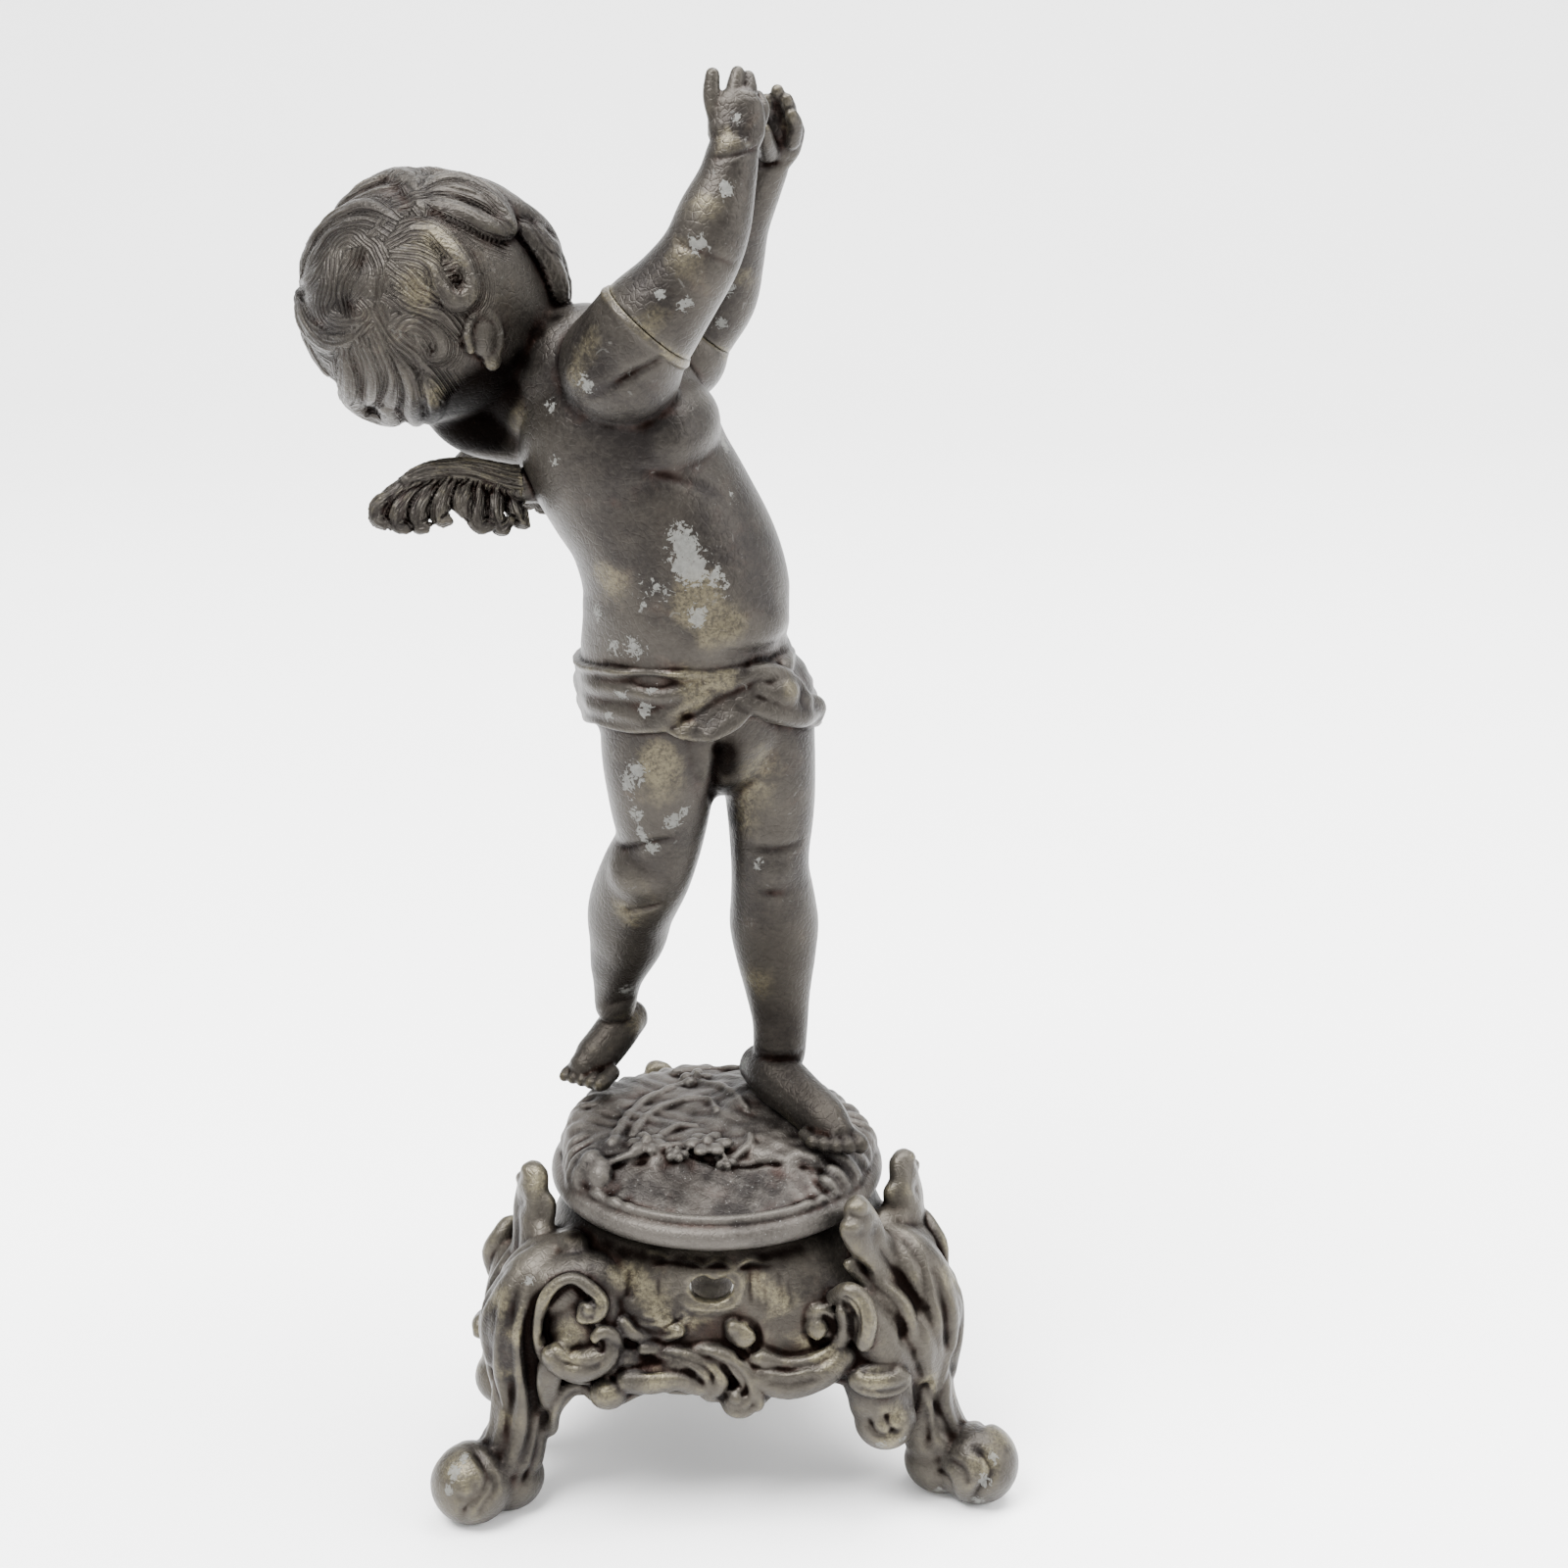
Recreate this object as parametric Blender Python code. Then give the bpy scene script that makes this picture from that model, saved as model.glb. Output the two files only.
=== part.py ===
"""Spelter cherub statue: a winged child with raised arms on a rocky mound and a
pierced, three-footed rococo base.  Metres, +Z up; each casting is modelled round the
base's axis, and the whole statue is then centred over the origin by its outer box.
The figure's chest faces +X, its right arm is nearest to -Y, its back is at -X."""

import math

import bmesh
import bpy
import numpy as np
from mathutils import Matrix, Vector

MM = 0.001

# Footed base: three alike sides between three legs
SIDES = 3
BASE_HEIGHT = 78.0 * MM
BASE_TOP_HALF = 40.0 * MM
BASE_HEM_HALF = 45.5 * MM
BASE_HEM_HEIGHT = 39.0 * MM
BASE_WALL = 3.0 * MM
BASE_TURN = math.radians(4.0)
FOOT_REACH = 77.5 * MM
FOOT_RADIUS = 11.0 * MM
FOOT_FLAT = 0.8 * MM
LEG_REACH = 62.0 * MM
LEG_RADIUS = 9.4 * MM
SCROLL_RADIUS = 12.6 * MM
SCROLL_THICKNESS = 2.7 * MM
HOLE_WIDTH = 12.6 * MM
HOLE_HEIGHT = 8.2 * MM
HOLE_DROP = 10.5 * MM
HOLE_SHIFT = -1.6 * MM
PENDANT_RADIUS = 4.6 * MM
BALL_RADIUS = 8.4 * MM
LEAF_RISE = 10.0 * MM
LEAF_RADIUS = 5.0 * MM

# Carving on a side is drawn on a wall this wide and high, and stretches with the real wall
DRAWN_HALF = 45.5
DRAWN_HEM = 39.0
DRAWN_TOP = 78.0

# Ground mound
GROUND_HEIGHT = 22.5 * MM
GROUND_RADIUS = 44.5 * MM
LIP_RADIUS = 3.4 * MM
PLATEAU_DROP = 5.3 * MM
DOME_DROP = 2.4 * MM
LEDGE_LINE = -19.0 * MM
LEDGE_DROP = 3.2 * MM
FRONT_SLOPE = 0.34
FLOWER_RADIUS = 7.0 * MM
SOLE_DEPTH = 0.6 * MM

# Figure, from the mound's crown to the fingertips
FIGURE_HEIGHT = 270.0 * MM
FIGURE_SETBACK = 3.0 * MM

# Clearance between separate castings
GAP = 0.3 * MM

# Finest step of the large and of the small castings' surface
COARSE = 0.95 * MM
FINE = 0.7 * MM

# Surface budgets, in triangles
BODY_FACES = 3900
ARM_FACES = 520
WING_FACES = 400
GROUND_FACES = 800
BASE_FACES = 3000

# Pose points are in 270ths of the figure's height, from the mound's crown
SHARE = FIGURE_HEIGHT / 270.0
CROWN = BASE_HEIGHT + GROUND_HEIGHT

HEAD = (-68.0, 9.0, 211.5)
HEAD_RADII = (31.0, 30.0, 31.0)
FACE_AHEAD = Vector((0.76, 0.62, 0.14)).normalized()
FACE_UP = Vector((-0.22, -0.04, 0.97)).normalized()
SHOULDER_PLANE = (-10.0, 3.0, 208.0)
SHOULDER_NORMAL = Vector((0.67, 0.0, 0.742)).normalized()
LEFT_SOLE = (24.0, -6.0, -4.0)
LEFT_SOLE_TILT = Vector((0.116, -0.132, 1.0)).normalized()
RIGHT_SOLE = (-33.5, 18.0, -2.6)
RIGHT_SOLE_TILT = Vector((-0.06, -0.04, 1.0)).normalized()


def spot(point):
    """World place of a pose point."""
    x, y, z = point
    return Vector((x * SHARE, y * SHARE + FIGURE_SETBACK, CROWN + z * SHARE))


def clear_scene():
    """Removes every object, so that the script starts from nothing."""
    for thing in list(bpy.data.objects):
        bpy.data.objects.remove(thing, do_unlink=True)


def metal(name, colour, roughness, metallic):
    """A Principled material for one casting."""
    material = bpy.data.materials.new(name)
    material.use_nodes = True
    shader = material.node_tree.nodes["Principled BSDF"]
    shader.inputs["Base Color"].default_value = (*colour, 1.0)
    shader.inputs["Roughness"].default_value = roughness
    shader.inputs["Metallic"].default_value = metallic
    return material


def smooth_stations(stations, steps):
    """Catmull-Rom curve through rows of numbers, with extra rows between them."""
    rows = np.array(stations, dtype=float)
    padded = np.vstack([2 * rows[0] - rows[1], rows, 2 * rows[-1] - rows[-2]])
    out = []
    for i in range(1, len(padded) - 2):
        p0, p1, p2, p3 = padded[i - 1:i + 3]
        for k in range(steps):
            t = k / steps
            out.append(0.5 * (2 * p1 + (p2 - p0) * t
                              + (2 * p0 - 5 * p1 + 4 * p2 - p3) * t * t
                              + (3 * p1 - p0 - 3 * p2 + p3) * t ** 3))
    out.append(rows[-1])
    return np.array(out)


def tube(bm, stations, sides=10, steps=3, wide=(0.0, 1.0, 0.0)):
    """Closed tube through (x, y, z, across, along_wide) rows, in metres.
    The second radius lies along the direction called wide."""
    rows = smooth_stations(stations, steps)
    centres = [Vector(row[:3]) for row in rows]
    rings = []
    caps = [math.radians(a) for a in (65, 35)]
    first = (centres[1] - centres[0]).normalized()
    last = (centres[-1] - centres[-2]).normalized()
    spans = [(centres[0] - first * rows[0][3] * math.sin(a), rows[0], math.cos(a)) for a in caps]
    spans += [(centre, row, 1.0) for centre, row in zip(centres, rows)]
    spans += [(centres[-1] + last * rows[-1][3] * math.sin(a), rows[-1], math.cos(a))
              for a in reversed(caps)]
    for i, (centre, row, share) in enumerate(spans):
        before = spans[max(i - 1, 0)][0]
        after = spans[min(i + 1, len(spans) - 1)][0]
        ahead = (after - before).normalized()
        broad = Vector(wide) - ahead * ahead.dot(Vector(wide))
        broad.normalize()
        across = broad.cross(ahead)
        ring = []
        for k in range(sides):
            turn = 2 * math.pi * k / sides
            ring.append(bm.verts.new(centre + across * (math.cos(turn) * row[3] * share)
                                     + broad * (math.sin(turn) * row[4] * share)))
        rings.append(ring)
    for low, high in zip(rings, rings[1:]):
        for k in range(sides):
            n = (k + 1) % sides
            bm.faces.new((low[k], low[n], high[n], high[k]))
    bm.faces.new(list(reversed(rings[0])))
    bm.faces.new(rings[-1])


def limb(bm, stations, sides=12, steps=3, wide=(0.0, 1.0, 0.0)):
    """Tube through pose rows (x, y, z, radius[, radius along wide])."""
    rows = []
    for row in stations:
        place = spot(row[:3])
        broad = row[4] if len(row) > 4 else row[3]
        rows.append((*place, row[3] * SHARE, broad * SHARE))
    tube(bm, rows, sides, steps, wide)


def mass(bm, point, radii, ahead=Vector((1.0, 0.0, 0.0)), up=Vector((0.0, 0.0, 1.0)), segments=16):
    """Ellipsoid at a pose point, with radii along ahead, sideways and up."""
    ahead = Vector(ahead).normalized()
    side = Vector(up).cross(ahead).normalized()
    top = ahead.cross(side)
    turn = Matrix((ahead, side, top)).transposed().to_4x4()
    size = Matrix.Diagonal((*[r * SHARE for r in radii], 1.0))
    place = Matrix.Translation(spot(point))
    bmesh.ops.create_uvsphere(bm, u_segments=segments, v_segments=segments // 2 + 2, radius=1.0,
                              matrix=place @ turn @ size)


def spiral(centre, radius, start, turns, tightening, steps):
    """Points of a volute in a plane: (sideways, up) pairs."""
    out = []
    for k in range(steps + 1):
        share = k / steps
        angle = start + turns * 2 * math.pi * share
        reach = radius * (1 - tightening * share)
        out.append((centre[0] + reach * math.cos(angle), centre[1] + reach * math.sin(angle)))
    return out


def settled(node, voxel, smoothing, budget):
    """Fuses a node's overlapping forms into one skin, relaxes it and thins it."""
    fuse = node.modifiers.new("fuse", "REMESH")
    fuse.mode = "VOXEL"
    fuse.voxel_size = voxel
    relax = node.modifiers.new("relax", "SMOOTH")
    relax.factor = 0.5
    relax.iterations = smoothing
    skin = evaluated_mesh(node)
    node.modifiers.clear()
    node.data = skin
    thin = node.modifiers.new("thin", "DECIMATE")
    triangles = sum(len(face.vertices) - 2 for face in skin.polygons)
    thin.ratio = min(1.0, budget / triangles)
    thin.use_collapse_triangulate = True
    node.data = evaluated_mesh(node)
    node.modifiers.clear()
    return node


def evaluated_mesh(node):
    """A copy of a node's mesh with its modifiers applied."""
    bpy.context.view_layer.update()
    graph = bpy.context.evaluated_depsgraph_get()
    return bpy.data.meshes.new_from_object(node.evaluated_get(graph))


def new_node(name, bm, material):
    """Puts a finished bmesh into the scene as a named node."""
    bmesh.ops.recalc_face_normals(bm, faces=bm.faces)
    mesh = bpy.data.meshes.new(name)
    bm.to_mesh(mesh)
    bm.free()
    node = bpy.data.objects.new(name, mesh)
    bpy.context.collection.objects.link(node)
    mesh.materials.append(material)
    return node


def finish_node(node, material):
    """Smooth shading and the node's own material, after its mesh is final."""
    node.data.materials.clear()
    node.data.materials.append(material)
    node.data.shade_smooth()
    node.data.set_sharp_from_angle(angle=math.radians(50))


def slice_off(node, point, normal):
    """Cuts a node flat and keeps the side that the normal points away from."""
    bm = bmesh.new()
    bm.from_mesh(node.data)
    cut = bmesh.ops.bisect_plane(bm, geom=bm.verts[:] + bm.edges[:] + bm.faces[:], plane_co=point,
                                 plane_no=normal, clear_outer=True)
    rim = [e for e in cut["geom_cut"] if isinstance(e, bmesh.types.BMEdge)]
    filled = bmesh.ops.holes_fill(bm, edges=rim)
    bmesh.ops.triangulate(bm, faces=filled["faces"])
    bmesh.ops.recalc_face_normals(bm, faces=bm.faces)
    bm.to_mesh(node.data)
    bm.free()


def block(name, point, normal, size, heading=Vector((0.0, 1.0, 0.0))):
    """Cutter box whose inner face lies at a point and which reaches out along a normal."""
    bm = bmesh.new()
    bmesh.ops.create_cube(bm, size=1.0)
    bmesh.ops.translate(bm, verts=bm.verts, vec=(0.0, 0.0, 0.5))
    bmesh.ops.scale(bm, verts=bm.verts, vec=size)
    normal = Vector(normal).normalized()
    side = heading.cross(normal).normalized()
    along = normal.cross(side)
    turn = Matrix((side, along, normal)).transposed().to_4x4()
    bmesh.ops.transform(bm, verts=bm.verts, matrix=Matrix.Translation(point) @ turn)
    return cutter_from(name, bm)


def carve(node, cutter):
    """Boolean difference, kept live on the node."""
    cut = node.modifiers.new(cutter.name, "BOOLEAN")
    cut.operation = "DIFFERENCE"
    cut.object = cutter


def head_place(u, v, lift=1.0, back=False):
    """Point over the skull seen from -Y: u to +X and v up, as shares of its radii."""
    depth = math.sqrt(max(0.0, 1.0 - u * u - v * v))
    depth = depth if back else -depth
    return (HEAD[0] + u * 33.0 * lift, HEAD[1] + depth * HEAD_RADII[1] * lift, HEAD[2] + v * 31.0 * lift)


def hair_lock(bm, trail, thickness, back=False):
    """One raised lock that follows (u, v) points over the skull and tapers."""
    rows = []
    for k, (u, v) in enumerate(trail):
        share = k / (len(trail) - 1)
        radius = thickness * (0.65 + 0.35 * math.sin(math.pi * min(1.0, share + 0.25)))
        rows.append((*head_place(u, v, 1.0, back), radius))
    limb(bm, rows, sides=6, steps=2, wide=(0.0, 1.0, 0.0))


def face_place(ahead, side, up):
    """Pose point in the face's own frame, from the skull's middle."""
    left = FACE_UP.cross(FACE_AHEAD).normalized()
    top = FACE_AHEAD.cross(left)
    reach = FACE_AHEAD * ahead + left * side + top * up
    return (HEAD[0] + reach.x, HEAD[1] + reach.y, HEAD[2] + reach.z)


def add_head(bm):
    """Skull, a calm generic child's face, ears and locks of hair."""
    mass(bm, HEAD, (31.0, 29.0, 30.0), FACE_AHEAD, FACE_UP, 20)
    mass(bm, face_place(9.0, 0.0, -9.0), (20.5, 20.0, 18.0), FACE_AHEAD, FACE_UP)
    for side in (-1, 1):
        mass(bm, face_place(17.0, side * 10.0, -10.5), (9.5, 9.0, 9.0), FACE_AHEAD, FACE_UP, 12)
        mass(bm, face_place(-2.0, side * 28.0, -6.0), (4.0, 3.0, 7.0), FACE_AHEAD, FACE_UP, 10)
        mass(bm, face_place(26.0, side * 9.0, 1.5), (4.0, 5.0, 2.6), FACE_AHEAD, FACE_UP, 10)
    mass(bm, face_place(25.0, 0.0, -22.0), (5.0, 6.5, 4.5), FACE_AHEAD, FACE_UP, 10)
    mass(bm, face_place(30.0, 0.0, -5.5), (4.0, 3.6, 3.8), FACE_AHEAD, FACE_UP, 10)
    mass(bm, face_place(27.5, 0.0, -13.5), (3.2, 5.0, 2.6), FACE_AHEAD, FACE_UP, 10)
    limb(bm, [(-58.0, 10.5, 200.0, 15.0), (-50.0, 10.0, 194.0, 13.5), (-40.0, 9.0, 188.0, 15.0)])
    ring = spiral((-0.52, 0.0), 0.2, math.radians(60), 1.35, 0.62, 12)
    hair_lock(bm, ring, 4.2)
    hair_lock(bm, [(-0.3, 0.36), (-0.05, 0.42), (0.12, 0.3), (0.2, 0.14), (0.06, 0.1)], 3.6)
    hair_lock(bm, [(-0.28, -0.1), (-0.1, -0.2), (0.05, -0.3), (0.02, -0.46), (-0.1, -0.44)], 3.4)
    hair_lock(bm, [(-0.3, -0.3), (-0.42, -0.55), (-0.46, -0.75), (-0.34, -0.86)], 5.0)
    hair_lock(bm, [(-0.2, -0.4), (-0.1, -0.65), (0.06, -0.85), (0.14, -0.97)], 4.6)
    hair_lock(bm, [(-0.62, 0.6), (-0.4, 0.8), (-0.2, 0.93)], 4.6)
    hair_lock(bm, [(-0.2, 0.6), (0.1, 0.72), (0.4, 0.76), (0.6, 0.6)], 5.0)
    hair_lock(bm, [(-0.75, 0.35), (-0.9, 0.1), (-0.93, -0.15), (-0.8, -0.4)], 4.4)
    for k in range(7):
        turn = math.radians(-70 + 38 * k)
        low = (0.93 * math.cos(turn), 0.93 * math.sin(turn))
        mid = (0.6 * math.cos(turn + 0.5) - 0.2, 0.6 * math.sin(turn + 0.5) + 0.2)
        top = (0.2 * math.cos(turn + 0.9) - 0.35, 0.2 * math.sin(turn + 0.9) + 0.3)
        if low[0] < 0.45 or low[1] > 0.5:
            hair_lock(bm, [top, mid, low], 4.4, back=True)


def add_torso(bm):
    """Leaning trunk with a round belly, chest, shoulders and buttocks."""
    limb(bm, [(-2.0, 2.0, 107.0, 22.0, 18.0), (-4.5, 2.0, 114.0, 27.5, 23.0),
              (-8.3, 1.0, 124.5, 25.3, 23.0), (-6.7, 0.0, 137.0, 26.5, 25.0),
              (-8.0, 0.0, 147.5, 25.6, 25.0), (-13.0, 1.0, 160.0, 24.2, 25.0),
              (-18.0, 3.0, 168.0, 24.4, 26.5), (-22.5, 4.0, 177.0, 24.8, 27.5),
              (-27.0, 5.0, 187.0, 23.0, 26.0), (-32.0, 6.0, 195.0, 17.0, 20.0)], sides=20)
    mass(bm, (-2.0, -3.0, 135.0), (21.5, 22.0, 17.0), (0.8, -0.6, 0.0))
    mass(bm, (-12.0, -2.0, 182.0), (15.0, 20.0, 13.0), (0.9, 0.0, 0.45))
    mass(bm, (-21.0, -15.0, 201.0), (15.0, 14.5, 15.0))
    mass(bm, (-9.0, 24.0, 196.0), (13.0, 12.5, 13.0))
    mass(bm, (-16.0, 12.0, 112.0), (16.0, 16.0, 15.0))
    mass(bm, (6.0, 15.0, 111.0), (15.0, 15.0, 15.0))
    limb(bm, [(-21.0, -15.0, 202.0, 14.0), (-14.0, -19.0, 211.8, 13.2), (-5.0, -20.5, 222.0, 11.0)])
    limb(bm, [(-9.0, 24.0, 195.0, 12.0), (-3.7, 28.0, 203.5, 10.8), (2.0, 27.0, 212.0, 9.8)])


def cloth_place(angle, share):
    """Point on the loincloth: angle in degrees, 0 at +X and -90 towards -Y, and a share of its
    height from hem to waist.  It is hitched up over the right hip."""
    turn = math.radians(angle)
    across = 28.6 - 1.6 * share + 1.4 * math.sin(math.pi * share)
    depth = 24.5 - 0.6 * share
    hitch = 6.5 * max(0.0, -math.sin(turn)) ** 1.5
    return (-1.5 - 5.5 * share + across * math.cos(turn), 2.0 + depth * math.sin(turn),
            101.0 + 20.5 * share + hitch)


def add_wrap(bm):
    """The cloth's own broad form, closed above and below."""
    sides = 24
    rings = [[bm.verts.new(spot(cloth_place(360.0 * k / sides, share))) for k in range(sides)]
             for share in (0.08, 0.3, 0.6, 0.92)]
    for low, high in zip(rings, rings[1:]):
        for k in range(sides):
            n = (k + 1) % sides
            bm.faces.new((low[k], low[n], high[n], high[k]))
    bm.faces.new(list(reversed(rings[0])))
    bm.faces.new(rings[-1])


def fold(bm, trail, thickness):
    """A rolled fold that follows (angle, share) points over the loincloth."""
    rows = []
    for k, (angle, share) in enumerate(trail):
        swell = math.sin(math.pi * (0.2 + 0.7 * k / (len(trail) - 1)))
        rows.append((*cloth_place(angle, share), thickness * swell))
    limb(bm, rows, sides=6, steps=2, wide=(0.1, 0.2, 1.0))


def add_loincloth(bm):
    """Wrapped cloth with a waist roll, diagonal folds, a hanging end and a knot."""
    add_wrap(bm)
    fold(bm, [(a, 0.98 + 0.04 * math.sin(math.radians(a * 2))) for a in range(-190, 171, 24)], 3.0)
    fold(bm, [(a, 0.06) for a in range(-200, 1, 20)], 2.4)
    fold(bm, [(-30, 0.85), (-62, 0.6), (-88, 0.3), (-112, 0.12)], 3.6)
    fold(bm, [(-34, 0.6), (-60, 0.35), (-80, 0.02), (-92, -0.12)], 4.2)
    fold(bm, [(-150, 0.8), (-120, 0.78), (-88, 0.72)], 2.6)
    fold(bm, [(-190, 0.75), (-160, 0.45), (-135, 0.2)], 2.6)
    fold(bm, [(60, 0.8), (100, 0.5), (150, 0.2)], 3.4)
    fold(bm, [(20, 0.6), (70, 0.3), (120, 0.05)], 3.4)
    mass(bm, (17.5, -12.5, 113.0), (7.5, 7.0, 5.5), (0.6, -0.6, -0.5))
    mass(bm, (23.0, -10.0, 107.5), (4.5, 5.0, 4.5))
    limb(bm, [(15.0, -13.0, 116.0, 5.0), (17.0, -8.0, 122.0, 4.5), (16.0, 2.0, 126.0, 3.5)], sides=8)


def add_legs(bm):
    """Straight left leg that carries the weight, and the bent right leg on its toes."""
    limb(bm, [(11.5, 6.0, 111.0, 14.5), (13.6, 5.0, 96.5, 12.6), (14.5, 5.0, 81.0, 11.6),
              (14.3, 4.0, 66.0, 10.3), (15.0, 6.0, 55.0, 11.2), (15.4, 8.5, 46.0, 11.9),
              (15.9, 9.0, 36.0, 10.6), (16.4, 9.0, 27.0, 8.9), (17.0, 8.5, 18.0, 7.6),
              (16.8, 8.0, 9.0, 7.2)], sides=14)
    limb(bm, [(12.0, 10.5, 3.6, 6.2), (16.0, 4.0, 3.4, 7.4), (22.5, -4.0, 1.0, 6.8),
              (28.5, -11.5, -1.4, 6.6), (33.0, -18.0, -3.4, 4.8)], sides=12, wide=(0.8, 0.6, 0.0))
    for k in range(5):
        reach = 6.4 - 0.9 * k
        base = Vector((36.2 - 2.7 * k, -17.4 - 1.9 * k + 0.35 * k * k, -4.2 + 0.1 * k))
        out = Vector((0.5, -0.85, -0.12)) * (reach if k else 6.0)
        limb(bm, [(*base, 2.9 - 0.2 * k), (*(base + out * 0.6), 2.5 - 0.2 * k)], sides=8)
    limb(bm, [(-13.5, -3.0, 111.0, 15.0), (-14.0, -2.0, 98.0, 14.8), (-13.8, -1.0, 83.5, 13.2),
              (-14.4, 0.5, 73.0, 11.4), (-18.0, 3.0, 63.0, 12.0), (-22.4, 9.5, 50.7, 11.6),
              (-23.9, 14.5, 40.2, 10.5), (-26.4, 18.0, 30.3, 8.1), (-27.4, 20.0, 23.7, 6.5),
              (-28.0, 21.0, 17.0, 5.8)], sides=14)
    mass(bm, (-19.5, -1.0, 65.0), (9.0, 9.5, 9.0))
    limb(bm, [(-24.5, 25.5, 11.0, 5.2), (-27.0, 22.0, 10.0, 6.0), (-30.5, 19.0, 6.2, 6.0),
              (-33.8, 16.0, 3.2, 5.8), (-36.5, 13.5, 1.6, 4.6)], sides=12, wide=(0.85, -0.5, 0.0))
    for k in range(5):
        base = Vector((-40.0 + 2.4 * k, 15.0 - 1.3 * k, 0.2))
        limb(bm, [(*base, 2.0 + 0.12 * k), (*(base + Vector((-1.8, -3.0, -0.7))), 1.9 + 0.12 * k)], sides=8)


def build_body(material):
    """The figure's main casting, flat at its soles and at both arm seams."""
    bm = bmesh.new()
    add_torso(bm)
    add_head(bm)
    add_loincloth(bm)
    add_legs(bm)
    for root, tip in WING_SOCKETS.values():
        limb(bm, [(*root, 5.5), (*tip, 4.2)], sides=10)
    node = new_node("cherub_body", bm, material)
    settled(node, COARSE, 3, BODY_FACES)
    slice_off(node, spot(SHOULDER_PLANE) - SHOULDER_NORMAL * GAP / 2, SHOULDER_NORMAL)
    finish_node(node, material)
    return node


WING_SOCKETS = {
    "right_wing": ((-37.0, 1.0, 168.5), (-48.5, -2.0, 167.5)),
    "left_wing": ((-36.0, 13.0, 168.0), (-45.5, 19.0, 165.5)),
}
SPINE = Vector((-41.0, 7.5, 168.0))
ACROSS_BACK = Vector((0.20, 0.97, -0.10)).normalized()


def wing_place(name, point):
    """Pose point of the right wing, mirrored through the spine for the left one."""
    point = Vector(point)
    if name == "left_wing":
        point = point - ACROSS_BACK * (2.0 * (point - SPINE).dot(ACROSS_BACK))
    return point


def socket_plane(name):
    """Seam of a wing: its place and its outward direction."""
    root, tip = WING_SOCKETS[name]
    out = (Vector(tip) - Vector(root)).normalized()
    return spot(tip) - out * 2.0 * SHARE, out


def build_wing(name, material):
    """A small wing: a rolled leading edge and two fans of feathers with curled tips."""
    bm = bmesh.new()
    root, tip = WING_SOCKETS[name]
    middle = (Vector(root) + Vector(tip)) / 2
    flat = (wing_place(name, (0.12, 1.0, 0.1)) - wing_place(name, (0.0, 0.0, 0.0))).normalized()
    edge = [(-50.0, -3.0, 168.5, 5.6), (-60.0, -5.5, 171.6, 4.6), (-70.0, -8.5, 171.6, 3.9),
            (-77.0, -11.0, 167.0, 3.4)]
    rows = [(*middle, 5.0, 4.2)]
    rows += [(*wing_place(name, row[:3]), row[3], row[3] * 0.72) for row in edge]
    limb(bm, rows, sides=10, wide=flat)
    feathers = [((-75.0, -11.0, 168.0), (-80.0, -12.5, 163.0)),
                ((-72.0, -10.0, 169.0), (-75.5, -12.5, 160.5)),
                ((-68.5, -9.0, 169.0), (-70.0, -12.0, 160.0)),
                ((-64.5, -8.0, 169.0), (-65.0, -10.5, 161.5)),
                ((-59.0, -6.5, 168.0), (-58.5, -10.0, 161.0)),
                ((-54.5, -5.5, 166.5), (-53.0, -8.5, 159.5)),
                ((-50.5, -4.0, 165.0), (-47.0, -5.5, 160.0))]
    for k, (top, low) in enumerate(feathers):
        top = wing_place(name, top)
        low = wing_place(name, low)
        limb(bm, [(*top, 2.7, 2.1), (*((top + low) / 2), 2.8, 2.0), (*low, 2.4, 2.4 - 0.1 * k)],
             sides=8, wide=flat)
    node = new_node(name, bm, material)
    settled(node, FINE, 2, WING_FACES)
    place, away = socket_plane(name)
    slice_off(node, place + away * GAP, -away)
    finish_node(node, material)
    return node


def add_hand(bm, wrist, palm, knuckles, fingers, thumb, size):
    """Palm, four fingers and a thumb; fingers are (base, middle, tip) pose points."""
    limb(bm, [(*wrist, 5.2 * size, 5.0 * size), (*palm, 6.6 * size, 4.3 * size),
              (*knuckles, 6.2 * size, 3.4 * size)], sides=12)
    for joints in fingers:
        radii = (2.3, 2.0, 1.5)
        limb(bm, [(*point, r * size) for point, r in zip(joints, radii)], sides=8)
    limb(bm, [(*point, r * size) for point, r in zip(thumb, (2.8, 2.4, 1.7))], sides=8)


def build_right_arm(material):
    """The near arm, reaching up to the hand with parted fingers."""
    bm = bmesh.new()
    limb(bm, [(-22.0, -16.0, 201.0, 14.0), (-14.0, -19.0, 211.8, 12.8), (-7.0, -20.0, 220.3, 10.8),
              (-1.4, -20.5, 228.5, 9.7), (2.0, -19.5, 237.4, 8.9), (4.8, -18.0, 245.6, 7.0),
              (6.1, -17.0, 251.4, 6.2)], sides=14)
    fingers = [((2.5, -15.5, 259.0), (1.2, -14.5, 264.0), (1.4, -13.5, 268.6)),
               ((6.0, -15.0, 261.5), (6.6, -13.5, 266.0), (7.2, -12.0, 269.4)),
               ((9.0, -14.5, 260.5), (9.8, -12.5, 264.5), (9.6, -10.5, 267.6)),
               ((11.5, -14.0, 257.5), (12.6, -12.0, 260.5), (11.8, -9.8, 263.0))]
    thumb = ((3.0, -13.0, 255.0), (2.6, -9.5, 259.0), (3.6, -7.5, 262.0))
    add_hand(bm, (6.1, -17.0, 251.4), (6.9, -16.4, 256.0), (7.2, -15.4, 260.0), fingers, thumb, 1.0)
    node = new_node("right_arm", bm, material)
    settled(node, FINE, 3, ARM_FACES)
    slice_off(node, spot(SHOULDER_PLANE) + SHOULDER_NORMAL * GAP / 2, -SHOULDER_NORMAL)
    finish_node(node, material)
    return node


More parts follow.
